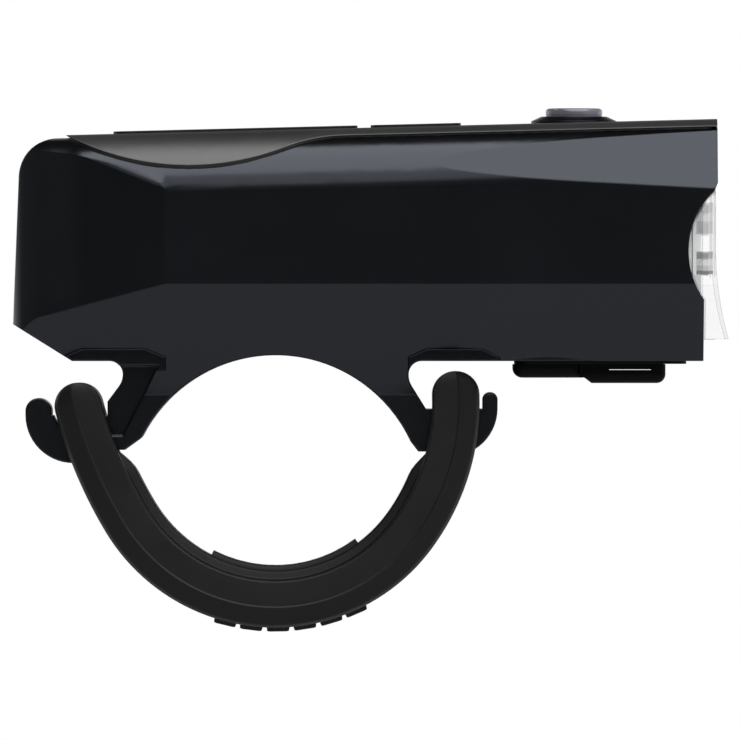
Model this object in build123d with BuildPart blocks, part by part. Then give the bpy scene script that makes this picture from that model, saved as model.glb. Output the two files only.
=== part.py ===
from build123d import *
import os
from math import atan2, cos, degrees, radians, sin, sqrt, tan

# Handlebar headlight, in millimetres. X points along the beam, Z is up and the origin is the
# middle of the handlebar seat. The light is symmetric about the XZ plane.

# Handlebar seat
largest_bar = 35.0
bar_clearance = 0.55
seat_radius = largest_bar / 2 + bar_clearance

# Body
rear_reach = 31.65
chin_setback = 1.65
body_width = 32.0
bottom_width = 19.5
rear_width = 25.4
taper_length = 18.4
seat_bite = 0.7
lower_side_height = 9.2
rear_height = 26.8
front_height = 28.9
shoulder_radius = 7.0
rear_round = 4.2
top_round = 4.8
rear_lean = 0.9
rear_bevel_height = 4.45
rear_bevel_length = 7.1
facet_tilt = 24.9
facet_turn = 1.28
facet_drop = 8.1
side_wall = 1.7
floor_wall = 2.45
inner_shoulder_height = 20.2
inner_roof_height = 25.85
overrun = 2.0

# Window that the side walls leave for the lens
window_top_height = 20.4
window_bow_height = 14.0
window_low_height = 7.4
window_depth = 3.5
window_lip = 0.45
window_lip_height = 1.1

# Lid
lid_proud = 0.35
lid_wall = 1.5
lid_gap = 0.08
lid_edge_drop = 0.65
lid_setback = 6.2
dip_low_setback = 20.9
dip_depth = 3.85
dip_turn_setback = 32.65
dip_turn_drop = 2.0
dip_front_setback = 39.9
opening_width = 19.2
opening_rear_setback = 8.2
opening_front_setback = 8.25
pad_thickness = 0.3
pad_width = 17.0
pad_corner = 1.6
rear_pad_setback = 12.1
front_pad_spacing = 24.65
front_pad_length = 10.9
pad_spacing = 1.6

# Rubber strap
crossbar_radius = 2.85
strand_width = 5.0
strand_round = 1.5
strap_gap = 14.8
rear_bar_x = -23.8
rear_bar_z = 11.9
front_bar_x = 21.85
front_bar_z = 13.3
strap_drop = 24.65
strap_start_tilt = 14.6
strap_rear_share = (0.126, 0.563)
strap_low_share = (0.5215, 1.0)
strap_front_share = (0.888, 0.675)
web_proud = 0.7
grip_rise = 0.45
grip_rear_x = -7.75
grip_front_x = 9.95
rib_rear_x = -7.35
rib_front_x = 10.85
rib_count = 6
rib_length = 2.3
rib_rise = 0.5

# Strap hooks and legs
hook_width = 14.0
hook_radius = 5.8
pocket_play = 0.4
rear_hook_back = 0.6
rear_hook_down = 1.1
front_hook_back = 0.75
front_hook_down = 1.7
tip_drop = 0.6
rear_leg_x = -18.45
rear_leg_foot_x = -20.3
front_leg_x = 16.15
front_leg_foot_x = 18.45
leg_knee_drop = 2.4
rear_foot_drop = 4.9
front_foot_drop = 6.1
front_heel_x = 17.3
front_heel_z = 6.4
front_toe_z = 7.6
rear_heel_x = -18.2
rear_heel_z = 6.6
rear_toe_z = 8.1
toe_round = 1.6
leg_round = 1.6
knee_round = 2.4
leg_recess = 1.8
relief_height = 1.5
relief_run = 5.2
rear_relief_x = -25.75
front_relief_x = 27.15
relief_depth = 1.9

# Button
button_setback = 17.2
button_diameter = 6.9
button_rise = 1.8
button_round = 0.35
button_gap = 0.2
button_travel = 0.5
button_lip = 0.8
button_lip_thickness = 0.6
groove_depth = 0.25
groove_height = 0.3
bezel_diameter = 10.4
bezel_top_diameter = 8.0
bezel_rise = 0.8
bezel_rim = 0.25

# Main board and switch
board_thickness = 1.0
board_width = 18.4
board_tail = 24.85
board_nose = 8.55
board_post_insets = (2.6, 11.0)
board_post_y = 7.4
switch_size = 4.6
switch_height = 1.5
plunger_diameter = 2.2
plunger_rise = 0.8
plunger_sink = 0.5
fit_gap = 0.05
running_gap = 0.12
led_length = 1.6
led_width = 0.8
led_height = 0.6
led_offset = 3.7
chip_size = 5.0
chip_height = 0.9
chip_spacing = 9.0
coil_size = 5.4
coil_height = 1.8
coil_spacing = 9.95

# Battery
cell_diameter = 18.4
cell_length = 65.0
cell_play = 0.15
cell_bottom_gap = 1.7
cell_round = 0.6
cell_cap_radius = 3.0
cell_cap_height = 0.8
contact_thickness = 0.4
contact_size = 9.0
contact_gap = 0.15
cradle_wall = 0.7
cradle_height = 7.6
cradle_play = 0.15
rear_contact_setback = 3.4

# Lens, reflector and lamp
lens_wall = 1.5
lens_play = 0.15
lens_setback = 0.25
lens_flare = 1.6
lens_flare_height = 11.0
lens_low_height = 2.65
ledge_setback = 6.45
ledge_width = 0.8
ledge_height = 0.9
gasket_thickness = 0.6
reflector_play = 0.25
reflector_rim = 0.9
reflector_skirt = 2.6
bowl_radius = 8.8
bowl_middle_share = 0.3
bowl_wall = 0.8
neck_radius = 3.0
lamp_height = 14.3
sink_gap = 1.55
lamp_room = 13.15
sink_thickness = 2.0
star_diameter = 15.0
star_thickness = 1.2
emitter_radius = 1.7
emitter_base = 0.5
reflector_gap = 0.1

# Charging port and its cover
port_setback = 10.85
port_length = 8.4
port_width = 5.2
port_corner = 0.8
socket_length = 7.5
socket_width = 3.0
socket_height = 4.4
socket_wall = 0.4
socket_recess = 0.55
usb_board_length = 7.6
usb_board_width = 11.0
usb_board_thickness = 0.8
usb_post_y = 4.0
plate_tail = 13.6
plate_nose = 7.2
plate_thickness = 0.35
plate_width = 12.4
cover_width = 9.0
slab_tail = 13.8
hinge_spacing = 5.2
hinge_gap = 0.15
seal_gap = 0.02
slab_thickness = 1.65
slab_round = 1.2
anchor_radius = 1.2
anchor_spacing = 9.6
anchor_length = 1.7
flap_nose = 4.7
flap_thickness = 2.3
flap_slant = 0.85
flap_round = 1.1
slit_height = 0.3
slit_length = 5.3
slit_front = 1.6
slit_drop = 0.55
plug_length = 7.2
plug_width = 4.0
plug_height = 0.9
scallop_spacing = 9.55
scallop_length = 11.1
scallop_depth = 0.6

# Screws
screw_diameter = 1.6
screw_head_diameter = 3.0
screw_head_height = 0.5
screw_length = 4.4
board_screw_length = 3.6
screw_hole_gap = 0.1
post_radius = 1.7
cover_post_height = 4.2
board_post_height = 3.0
web_height = 1.5
usb_screw_radius = 0.5
usb_screw_length = 2.0
cover_screw_setback = 15.4
cover_screw_spacing = 3.2
cover_screw_y = 7.7
lamp_screw_y = 5.9

# Leads
lead_radius = 0.4
lead_bend_share = 0.9
lead_gap = 0.2
battery_lead_y = 3.9
battery_lead_inset = 1.8
led_lead_y = 2.5
led_lead_height = 6.0
usb_lead_spacing = 3.05
usb_lead_y = 4.8
sink_headroom = 0.55

half_width = body_width / 2
bottom_z = seat_radius - seat_bite
floor_z = bottom_z + floor_wall
crease_z = bottom_z + lower_side_height
roof_z = bottom_z + inner_roof_height
lower_slope = (body_width - bottom_width) / 2 / lower_side_height

# Places along the body: the cell follows the rear wall, the lamp follows the cell, and the hood,
# the button, the board and the charging port follow the lamp
rear_x = -rear_reach
rear_contact_x = rear_x + rear_contact_setback
cell_rear_x = rear_contact_x + contact_thickness + contact_gap
cell_front_x = cell_rear_x + cell_length - cell_cap_height
front_contact_x = cell_front_x + cell_cap_height + contact_gap
cradle_front_x = front_contact_x + contact_thickness + contact_gap
sink_x = cradle_front_x + cradle_wall + sink_gap
hood_reach = sink_x + lamp_room
lid_rear_x = rear_x + lid_setback
dip_low_x = rear_x + dip_low_setback
dip_turn_x = rear_x + dip_turn_setback
dip_front_x = rear_x + dip_front_setback
opening_rear_x = rear_x + opening_rear_setback
opening_front_x = hood_reach - opening_front_setback
ledge_x = hood_reach - ledge_setback
button_x = hood_reach - button_setback
front_pad_x = button_x - front_pad_spacing
rear_pad_x = rear_x + rear_pad_setback
rear_pad_length = front_pad_x - pad_spacing - rear_pad_x
board_rear_x = button_x - board_tail
board_front_x = button_x + board_nose
board_post_xs = (board_rear_x + board_post_insets[0], board_front_x - board_post_insets[1])
coil_x = button_x - coil_spacing
chip_x = coil_x - chip_spacing
cover_screw_xs = (rear_x + cover_screw_setback, board_rear_x - cover_screw_spacing)
battery_lead_x = board_rear_x + battery_lead_inset
port_x = hood_reach - port_setback
plate_rear_x = port_x - plate_tail
plate_front_x = port_x + plate_nose
slab_rear_x = port_x - slab_tail
hinge_x = port_x - hinge_spacing
anchor_x = port_x - anchor_spacing
flap_front_x = port_x + flap_nose
scallop_x = port_x - scallop_spacing
usb_lead_x = port_x - usb_lead_spacing

chin_x = hood_reach - chin_setback
front_cut_x = hood_reach + 2 * overrun
top_slope = (front_height - rear_height) / (hood_reach + rear_reach)
bevel_angle = atan2(rear_bevel_height, rear_bevel_length)
lamp_z = bottom_z + lamp_height

os.makedirs("parts", exist_ok=True)


def save(piece, name):
    """Label one finished piece and write it as its own STEP file."""
    piece.part.label = name
    export_step(piece.part, f"parts/{name}.step")


def top_z(x):
    """Height of the body's top, which rises towards the front."""
    return bottom_z + rear_height + (x + rear_reach) * top_slope


def lid_top_z(x):
    """Height of the lid's outside."""
    return top_z(x) + lid_proud


def seam_z(x):
    """Height of the joint between the lid and the body along its straight front stretch."""
    return top_z(x) - lid_edge_drop


def body_section(x, proud):
    """Cross-section of the body, continued down for the legs, with round shoulders."""
    leg_half = hook_width / 2
    leg_z = crease_z - (half_width - leg_half) / lower_slope
    top = top_z(x) + proud
    with BuildSketch(Plane.YZ.offset(x)) as section:
        with BuildLine():
            Polyline(
                (leg_half, 0),
                (leg_half, leg_z),
                (half_width + proud, crease_z),
                (half_width + proud, top),
                (-half_width - proud, top),
                (-half_width - proud, crease_z),
                (-leg_half, leg_z),
                (-leg_half, 0),
                close=True,
            )
        make_face()
        fillet(section.vertices().group_by(Axis.Y)[-1], shoulder_radius + proud)
    return section.sketch


def body_form(proud):
    """Outer form of the body: lofted section, tapered plan, leaning rear and the two front facets."""
    rear = body_section(rear_x - overrun, proud)
    front = body_section(front_cut_x, proud)
    loft([rear, front], ruled=True)
    with BuildSketch(Plane.XY) as plan:
        with BuildLine():
            Polyline(
                (rear_x - proud, -rear_width / 2 - proud),
                (rear_x + taper_length, -half_width - proud),
                (front_cut_x, -half_width - proud),
                (front_cut_x, half_width + proud),
                (rear_x + taper_length, half_width + proud),
                (rear_x - proud, rear_width / 2 + proud),
                close=True,
            )
        make_face()
        fillet(plan.vertices().group_by(Axis.X)[0], rear_round + proud)
    extrude(plan.sketch, amount=2 * body_width, mode=Mode.INTERSECT)
    rear_top_x = rear_x - proud + rear_lean
    bevel_rise = rear_bevel_height + proud * (tan(bevel_angle) - 1 / cos(bevel_angle))
    with BuildSketch(Plane.XZ) as side:
        with BuildLine():
            Polyline(
                (rear_x - proud, bottom_z + bevel_rise),
                (rear_top_x, top_z(rear_x) + proud),
                (front_cut_x, top_z(front_cut_x) + proud),
                (front_cut_x, 0),
                (rear_x - overrun, 0),
                (rear_x - overrun, bottom_z),
                (rear_x - proud + bevel_rise / tan(bevel_angle), bottom_z),
                close=True,
            )
        make_face()
        rear_top = (rear_top_x, top_z(rear_x) + proud, 0)
        fillet(side.vertices().sort_by_distance(rear_top)[0], top_round + proud)
    extrude(side.sketch, amount=body_width, both=True, mode=Mode.INTERSECT)
    facet_point = Vector(hood_reach, half_width, top_z(hood_reach) - facet_drop)
    outward = Vector(
        sin(radians(facet_turn)),
        cos(radians(facet_turn)) * cos(radians(facet_tilt)),
        cos(radians(facet_turn)) * sin(radians(facet_tilt)),
    )
    point = facet_point + outward * proud
    split(bisect_by=Plane(origin=point, z_dir=outward), keep=Keep.BOTTOM)
    far_point = (point.X, -point.Y, point.Z)
    far_outward = (outward.X, -outward.Y, outward.Z)
    split(bisect_by=Plane(origin=far_point, z_dir=far_outward), keep=Keep.BOTTOM)


def inner_section(x, inset):
    """Section of the space inside the walls, made smaller all round by an inset."""
    wall_run = side_wall * sqrt(1 + lower_slope**2)
    inner_half = half_width - side_wall
    floor_half = half_width - (crease_z - floor_z) * lower_slope - wall_run
    knee_z = crease_z + (wall_run - side_wall) / lower_slope
    shoulder_z = bottom_z + inner_shoulder_height
    with BuildSketch(Plane.YZ.offset(x)) as section:
        with BuildLine():
            Polyline(
                (floor_half, floor_z),
                (inner_half, knee_z),
                (inner_half, shoulder_z),
                (opening_width / 2, roof_z),
                (-opening_width / 2, roof_z),
                (-inner_half, shoulder_z),
                (-inner_half, knee_z),
                (-floor_half, floor_z),
                close=True,
            )
        make_face()
        if inset > 0:
            offset(amount=-inset, kind=Kind.INTERSECTION)
    return section.sketch


def window_arc(gap):
    """Front edge of the side wall, from the chin up to the hood, bowed back around the lens."""
    low = (chin_x + gap, bottom_z + window_low_height)
    middle = (hood_reach - window_depth + gap, bottom_z + window_bow_height)
    high = (hood_reach - window_lip + gap, bottom_z + window_top_height)
    return ThreePointArc(low, middle, high)


def above_seam(gap):
    """Side view of all that lies above the lid's joint: a straight front stretch, then the dip."""
    high = top_z(front_cut_x) + overrun
    with BuildSketch(Plane.XZ) as region:
        with BuildLine():
            front = (front_cut_x, seam_z(front_cut_x) + gap)
            dip_front = (dip_front_x, seam_z(dip_front_x) + gap)
            turn = (dip_turn_x, top_z(dip_turn_x) - dip_turn_drop + gap)
            low = (dip_low_x, top_z(dip_low_x) - dip_depth + gap)
            rear = (lid_rear_x, lid_top_z(lid_rear_x) + gap)
            straight = Line(front, dip_front)
            TangentArc(dip_front, turn, tangent=straight % 1)
            ThreePointArc(turn, low, rear)
            Polyline(rear, (lid_rear_x, high), (front_cut_x, high), front)
        make_face()
    return region.sketch


def hook(bar_x, bar_z, shift, down, side):
    """Side view of one hook: a half disc with a round tip, before its pocket is cut."""
    centre_x = bar_x + shift
    centre_z = bar_z - down
    pocket = crossbar_radius + pocket_play
    inner = bar_x + side * pocket
    outer = centre_x + side * hook_radius
    tip_x = (inner + outer) / 2
    tip_z = bar_z - tip_drop
    tip_half = abs(outer - inner) / 2
    with BuildSketch() as shape:
        with Locations((centre_x, centre_z)):
            Circle(hook_radius)
        with Locations((centre_x, centre_z + hook_radius)):
            Rectangle(2 * hook_radius, 2 * hook_radius, mode=Mode.SUBTRACT)
        with Locations((tip_x, (centre_z + tip_z) / 2)):
            Rectangle(2 * tip_half, tip_z - centre_z)
        with Locations((tip_x, tip_z)):
            Circle(tip_half)
    return shape.sketch


def housing_outline():
    """Side view of the housing: body with its front edge, the two legs with hooks, and the seat."""
    knee_z = bottom_z - leg_knee_drop
    rear_toe_x = sqrt(seat_radius**2 - rear_toe_z**2)
    front_toe_x = sqrt(seat_radius**2 - front_toe_z**2)
    pocket = crossbar_radius + pocket_play
    high = top_z(front_cut_x) + overrun
    with BuildSketch(Plane.XZ) as outline:
        with BuildLine():
            arc = window_arc(0)
            Polyline(
                arc @ 1,
                (hood_reach, (arc @ 1).Y + window_lip_height),
                (hood_reach, high),
                (rear_x - overrun, high),
                (rear_x - overrun, bottom_z),
                (chin_x, bottom_z),
                arc @ 0,
            )
        make_face()
        with BuildLine():
            Polyline(
                (0, floor_z),
                (rear_leg_x, floor_z),
                (rear_leg_x, knee_z),
                (rear_leg_foot_x, bottom_z - rear_foot_drop),
                (rear_leg_foot_x, rear_heel_z),
                (rear_heel_x, rear_heel_z),
                (-rear_toe_x, rear_toe_z),
                (0, rear_toe_z),
                close=True,
            )
        make_face()
        with BuildLine():
            Polyline(
                (0, floor_z),
                (front_leg_x, floor_z),
                (front_leg_x, knee_z),
                (front_leg_foot_x, bottom_z - front_foot_drop),
                (front_leg_foot_x, front_heel_z),
                (front_heel_x, front_heel_z),
                (front_toe_x, front_toe_z),
                (0, front_toe_z),
                close=True,
            )
        make_face()
        add(hook(rear_bar_x, rear_bar_z, -rear_hook_back, rear_hook_down, -1))
        add(hook(front_bar_x, front_bar_z, -front_hook_back, front_hook_down, 1))
        for bar_x, bar_z in ((rear_bar_x, rear_bar_z), (front_bar_x, front_bar_z)):
            with Locations((bar_x, bar_z)):
                Circle(pocket, mode=Mode.SUBTRACT)
            with Locations((bar_x, (bar_z + bottom_z) / 2)):
                Rectangle(2 * pocket, bottom_z - bar_z, mode=Mode.SUBTRACT)
        Circle(seat_radius, mode=Mode.SUBTRACT)
        corners = [
            (rear_leg_x, bottom_z, leg_round),
            (front_leg_x, bottom_z, leg_round),
            (rear_leg_x, knee_z, knee_round),
            (front_leg_x, knee_z, knee_round),
            (-rear_toe_x, rear_toe_z, toe_round),
        ]
        for x, z, radius in corners:
            fillet(outline.vertices().sort_by_distance((x, z, 0))[0], radius)
    return outline.sketch


def cut_both_sides(outline, inner_y, outer_y):
    """Cut an XZ outline into both sides of the part, from one distance off the middle outwards."""
    for side in (-1, 1):
        start = Plane.XZ.offset(side * inner_y) * outline
        extrude(start, amount=side * (outer_y - inner_y), mode=Mode.SUBTRACT)


def leg_recess_outline():
    """Triangular hollow in the side of the rear leg, between the rim of the seat and the hook."""
    rim = seat_radius + leg_recess
    with BuildSketch() as hollow:
        with BuildLine():
            Polyline(
                (rear_leg_x - overrun, bottom_z - leg_round / 3),
                (-sqrt(rim**2 - (bottom_z - leg_round) ** 2) - overrun, bottom_z - leg_round / 3),
                (rear_leg_x, rear_bar_z - 2 * leg_recess),
                (rear_leg_foot_x, rear_bar_z - 2 * leg_recess),
                (rear_leg_foot_x - overrun, rear_bar_z),
                close=True,
            )
        make_face()
        Circle(rim, mode=Mode.SUBTRACT)
    return hollow.sketch


def relief_outline(start_x, end_x):
    """Side view of the relief in the body's lower edge, over one end of the strap."""
    slant = (end_x - start_x) / 5
    with BuildSketch() as relief:
        with BuildLine():
            Polyline(
                (start_x, bottom_z - overrun),
                (start_x, bottom_z + relief_height / 3),
                (start_x + slant, bottom_z + relief_height),
                (end_x - slant, bottom_z + relief_height),
                (end_x, bottom_z + relief_height / 3),
                (end_x, bottom_z - overrun),
                close=True,
            )
        make_face()
    return relief.sketch


def scallop_outline():
    """Side view of the thumb scallop in the body's lower edges, beside the port cover."""
    with BuildSketch() as scallop:
        with BuildLine():
            start = (scallop_x - scallop_length / 2, bottom_z)
            end = (scallop_x + scallop_length / 2, bottom_z)
            ThreePointArc(start, (scallop_x, bottom_z + scallop_depth), end)
            Line(end, start)
        make_face()
    return scallop.sketch


# Inner space of the body, open at the front for the lens and at the top under the lid
with BuildPart() as cavity:
    body_form(-side_wall)
    extrude(inner_section(rear_x, 0), amount=front_cut_x - rear_x, mode=Mode.INTERSECT)
    opening_length = opening_front_x - opening_rear_x
    with BuildSketch(Plane.XY.offset(bottom_z + inner_shoulder_height)) as opening:
        with Locations(((opening_front_x + opening_rear_x) / 2, 0)):
            RectangleRounded(opening_length, opening_width, lid_wall)
    extrude(opening.sketch, amount=rear_height)

# Inside of the lid, which follows its outside at the thickness of its wall
with BuildPart() as lid_core:
    body_form(-lid_wall)

# Places that several pieces share
lid_under_z = seam_z(button_x - button_diameter / 2 - button_lip) + lid_gap
button_lip_z = lid_under_z - fit_gap - button_lip_thickness
switch_z = button_lip_z - fit_gap - plunger_rise - switch_height
board_z = switch_z - board_thickness
cell_z = floor_z + cell_bottom_gap + cell_diameter / 2
star_x = sink_x + sink_thickness
lamp_face_x = star_x + star_thickness
bowl_back_x = lamp_face_x + reflector_gap
lens_front_x = hood_reach - lens_setback
lens_back_x = ledge_x + ledge_width + gasket_thickness
reflector_front_x = lens_front_x - lens_wall - reflector_play
plate_z = bottom_z - plate_thickness
slab_z = plate_z - seal_gap
hinge_z = slab_z - slab_thickness
usb_board_z = bottom_z + socket_recess + socket_height
cover_posts = [(x, side * cover_screw_y) for x in cover_screw_xs for side in (-1, 1)]
board_posts = [(x, side * board_post_y) for x in board_post_xs for side in (-1, 1)]
usb_posts = [(port_x, side * usb_post_y) for side in (-1, 1)]


def lid_seat_z(x):
    """Height of the lid's underside, which is hollow over the dip and flat in front of it."""
    return top_z(x) - lid_wall if x < dip_turn_x else seam_z(x) + lid_gap


def post(x, y, seat, height):
    """Add a screw post, with a web that joins its foot to the side wall."""
    side = 1 if y > 0 else -1
    web_end = half_width - side_wall * 3 / 4
    foot_z = seat - height
    with Locations((x, y, seat - height / 2)):
        Cylinder(post_radius, height)
    with Locations((x, side * (web_end + abs(y)) / 2, foot_z + web_height / 2)):
        Box(2 * post_radius, web_end - abs(y), web_height)


def pilot_hole(x, y, seat):
    """Cut the hole that a screw of the common size holds in."""
    with Locations((x, y, seat - screw_length / 2)):
        Cylinder(screw_diameter / 2 + fit_gap, screw_length, mode=Mode.SUBTRACT)


def screw(x, y, seat, length, radius):
    """Add one screw whose head bears on a seat, with its drive recess."""
    with Locations((x, y, seat - length / 2)):
        Cylinder(radius, length)
    with Locations((x, y, seat + screw_head_height / 2)):
        Cylinder(radius * screw_head_diameter / screw_diameter, screw_head_height)
    with Locations((x, y, seat + screw_head_height)):
        Cylinder(radius / 2, screw_head_height, mode=Mode.SUBTRACT)


# Housing: body shell, handlebar seat and strap hooks in one moulding
with BuildPart() as housing:
    body_form(0)
    extrude(housing_outline(), amount=body_width, both=True, mode=Mode.INTERSECT)
    extrude(above_seam(0), amount=body_width, both=True, mode=Mode.SUBTRACT)
    cut_both_sides(leg_recess_outline(), hook_width / 2 - leg_recess, half_width)
    relief_y = bottom_width / 2 + relief_height * lower_slope - relief_depth
    for start_x, end_x in ((rear_relief_x, rear_leg_x + relief_run), (front_leg_x, front_relief_x)):
        cut_both_sides(relief_outline(start_x, end_x), relief_y, half_width)
    add(cavity.part, mode=Mode.SUBTRACT)
    # Ledge that the lens gasket seats on
    ledge = inner_section(ledge_x, 0) - inner_section(ledge_x, ledge_height)
    extrude(ledge, amount=ledge_width)
    # Screw posts for the lid, the main board and the charging board
    for x, y in cover_posts:
        post(x, y, lid_seat_z(x - post_radius) - 2 * fit_gap, cover_post_height)
    for x, y in board_posts:
        post(x, y, board_z, board_post_height)
    with Locations(*[(x, y, (floor_z + usb_board_z) / 2) for x, y in usb_posts]):
        Cylinder(post_radius * 3 / 4, usb_board_z - floor_z)
    for x, y in cover_posts:
        pilot_hole(x, y, lid_seat_z(x))
    for x, y in board_posts:
        pilot_hole(x, y, board_z)
    with Locations(*[(x, y, usb_board_z - usb_screw_length / 2) for x, y in usb_posts]):
        Cylinder(usb_screw_radius + fit_gap, usb_screw_length, mode=Mode.SUBTRACT)
    # Port opening, thumb scallop and the hole that the port cover is anchored in
    with BuildSketch(Plane.XY.offset(bottom_z - overrun)) as port:
        with Locations((port_x, 0)):
            RectangleRounded(port_length, port_width, port_corner)
    extrude(port.sketch, amount=floor_wall + overrun, mode=Mode.SUBTRACT)
    cut_both_sides(scallop_outline(), plate_width / 2, half_width)
    with Locations((anchor_x, 0, bottom_z + anchor_length / 2)):
        Cylinder(anchor_radius + fit_gap, anchor_length, mode=Mode.SUBTRACT)
save(housing, "housing")

# Lid: its side wings dip over the shoulders at the rear, and its front end is a flat plate
with BuildPart() as top_cover:
    body_form(lid_proud)
    extrude(above_seam(lid_gap), amount=body_width, both=True, mode=Mode.INTERSECT)
    add(lid_core.part, mode=Mode.SUBTRACT)
    split(bisect_by=Plane.YZ.offset(hood_reach), keep=Keep.BOTTOM)
    with Locations((button_x, 0, lid_top_z(button_x))):
        Cylinder(button_diameter / 2 + button_gap, 2 * overrun, mode=Mode.SUBTRACT)
    for x, y in cover_posts:
        seat = lid_top_z(x) - screw_head_height - fit_gap
        with Locations((x, y, seat + overrun)):
            Cylinder(screw_head_diameter / 2 + screw_hole_gap, 2 * overrun, mode=Mode.SUBTRACT)
        with Locations((x, y, seat)):
            Cylinder(screw_diameter / 2 + screw_hole_gap, 2 * overrun, mode=Mode.SUBTRACT)
save(top_cover, "top_cover")


def top_pad(start_x, length):
    """Thin pad that follows the lid's slope, with round corners."""
    end_x = start_x + length
    with BuildPart() as pad:
        with BuildSketch(Plane.XZ) as side:
            with BuildLine():
                Polyline(
                    (start_x, lid_top_z(start_x)),
                    (end_x, lid_top_z(end_x)),
                    (end_x, lid_top_z(end_x) + pad_thickness),
                    (start_x, lid_top_z(start_x) + pad_thickness),
                    close=True,
                )
            make_face()
        extrude(amount=pad_width / 2, both=True)
        fillet(pad.edges().filter_by(Axis.Z), pad_corner)
    return pad


save(top_pad(rear_pad_x, rear_pad_length), "rear_top_pad")
save(top_pad(front_pad_x, front_pad_length), "front_top_pad")

# Bezel: flared ring on the lid round the button
with BuildPart() as button_bezel:
    low = lid_top_z(button_x) - bezel_rise
    high = lid_top_z(button_x) + bezel_rise
    bore = button_diameter / 2 + button_gap
    with BuildSketch(Plane.XZ) as ring:
        with BuildLine():
            Polyline(
                (bore, low),
                (bezel_diameter / 2, low),
                (bezel_diameter / 2, lid_top_z(button_x) + bezel_rim),
                (bezel_top_diameter / 2, high),
                (bore, high),
                close=True,
            )
        make_face()
    revolve(axis=Axis.Z)
    lid_surface = Plane(origin=(0, 0, lid_top_z(button_x)), z_dir=(-top_slope, 0, 1))
    split(bisect_by=lid_surface, keep=Keep.TOP)
button_bezel.part.position = (button_x, 0, 0)
save(button_bezel, "button_bezel")

# Button cap: dished top, a groove round its skirt and a lip that the lid keeps in
with BuildPart() as button_cap:
    radius = button_diameter / 2
    crown = lid_top_z(button_x) + button_rise
    groove = lid_top_z(button_x) + bezel_rise + groove_height / 2
    with BuildSketch(Plane.XZ) as profile:
        with BuildLine():
            Polyline(
                (0, button_lip_z),
                (radius + button_lip, button_lip_z),
                (radius + button_lip, button_lip_z + button_lip_thickness),
                (radius, button_lip_z + button_lip_thickness),
                (radius, groove),
                (radius - groove_depth, groove),
                (radius - groove_depth, groove + groove_height),
                (radius, groove + groove_height),
                (radius, crown),
                (0, crown),
                close=True,
            )
        make_face()
        fillet(profile.vertices().sort_by_distance((radius, crown, 0))[0], button_round)
    revolve(axis=Axis.Z)
button_cap.part.position = (button_x, 0, 0)
save(button_cap, "button_cap")

# Tact switch under the button, with a well for its plunger
with BuildPart() as tact_switch:
    with Locations((button_x, 0, switch_z + switch_height / 2)):
        Box(switch_size, switch_size, switch_height)
    fillet(tact_switch.edges().filter_by(Axis.Z), fit_gap * 4)
    well = plunger_sink + button_travel + fit_gap
    with Locations((button_x, 0, switch_z + switch_height)):
        Cylinder(plunger_diameter / 2 + running_gap, 2 * well, mode=Mode.SUBTRACT)
save(tact_switch, "tact_switch")

with BuildPart() as switch_plunger:
    plunger_length = plunger_rise + plunger_sink
    plunger_top = switch_z + switch_height + plunger_rise
    with Locations((button_x, 0, plunger_top - plunger_length / 2)):
        Cylinder(plunger_diameter / 2, plunger_length)
    chamfer(switch_plunger.edges().group_by(Axis.Z)[-1], fit_gap * 3)
save(switch_plunger, "switch_plunger")

# Main board with its chip, driver coil and the status lights under the button
with BuildPart() as main_board:
    with BuildSketch(Plane.XY.offset(board_z)) as outline:
        with Locations(((board_rear_x + board_front_x) / 2, 0)):
            RectangleRounded(board_front_x - board_rear_x, board_width, lid_wall)
        with Locations(*board_posts):
            Circle(screw_diameter / 2 + screw_hole_gap, mode=Mode.SUBTRACT)
    extrude(amount=board_thickness)
save(main_board, "main_board")

board_top_z = board_z + board_thickness
with BuildPart() as status_leds:
    for side in (-1, 1):
        with Locations((button_x + side * led_offset, 0, board_top_z + led_height / 2)):
            Box(led_width, led_length, led_height)
save(status_leds, "status_leds")

with BuildPart() as control_chip:
    with Locations((chip_x, 0, board_top_z + chip_height / 2)):
        Box(chip_size, chip_size, chip_height)
    chamfer(control_chip.edges().group_by(Axis.Z)[-1], chip_height / 4)
save(control_chip, "control_chip")

with BuildPart() as driver_coil:
    with Locations((coil_x, 0, board_top_z + coil_height / 2)):
        Box(coil_size, coil_size, coil_height)
    fillet(driver_coil.edges().filter_by(Axis.Z), coil_height / 2)
    with Locations((coil_x, 0, board_top_z + coil_height)):
        Cylinder(coil_size / 3, coil_height / 4, mode=Mode.SUBTRACT)
save(driver_coil, "driver_coil")

# Battery cell with its raised front terminal
with BuildPart() as battery_cell:
    with BuildSketch(Plane.YZ.offset(cell_rear_x)) as base:
        with Locations((0, cell_z)):
            Circle(cell_diameter / 2)
    extrude(amount=cell_length - cell_cap_height)
    fillet(battery_cell.edges(), cell_round)
    with BuildSketch(Plane.YZ.offset(cell_front_x)) as cap:
        with Locations((0, cell_z)):
            Circle(cell_cap_radius)
    extrude(amount=cell_cap_height)
save(battery_cell, "battery_cell")


def contact(x, name, bump_x):
    """Square contact plate with a pressed bump towards the cell."""
    with BuildPart() as plate:
        with BuildSketch(Plane.YZ.offset(x)) as square:
            with Locations((0, cell_z)):
                RectangleRounded(contact_size, contact_size, contact_gap * 8)
        extrude(amount=contact_thickness)
        with BuildSketch(Plane.YZ.offset(min(x, bump_x))) as bump:
            with Locations((0, cell_z)):
                Circle(cell_cap_radius / 2)
        extrude(amount=abs(bump_x - x) + fit_gap)
    save(plate, name)


contact(rear_contact_x, "battery_contact_rear", rear_contact_x + contact_thickness + fit_gap)
contact(front_contact_x, "battery_contact_front", front_contact_x - fit_gap)

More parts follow.
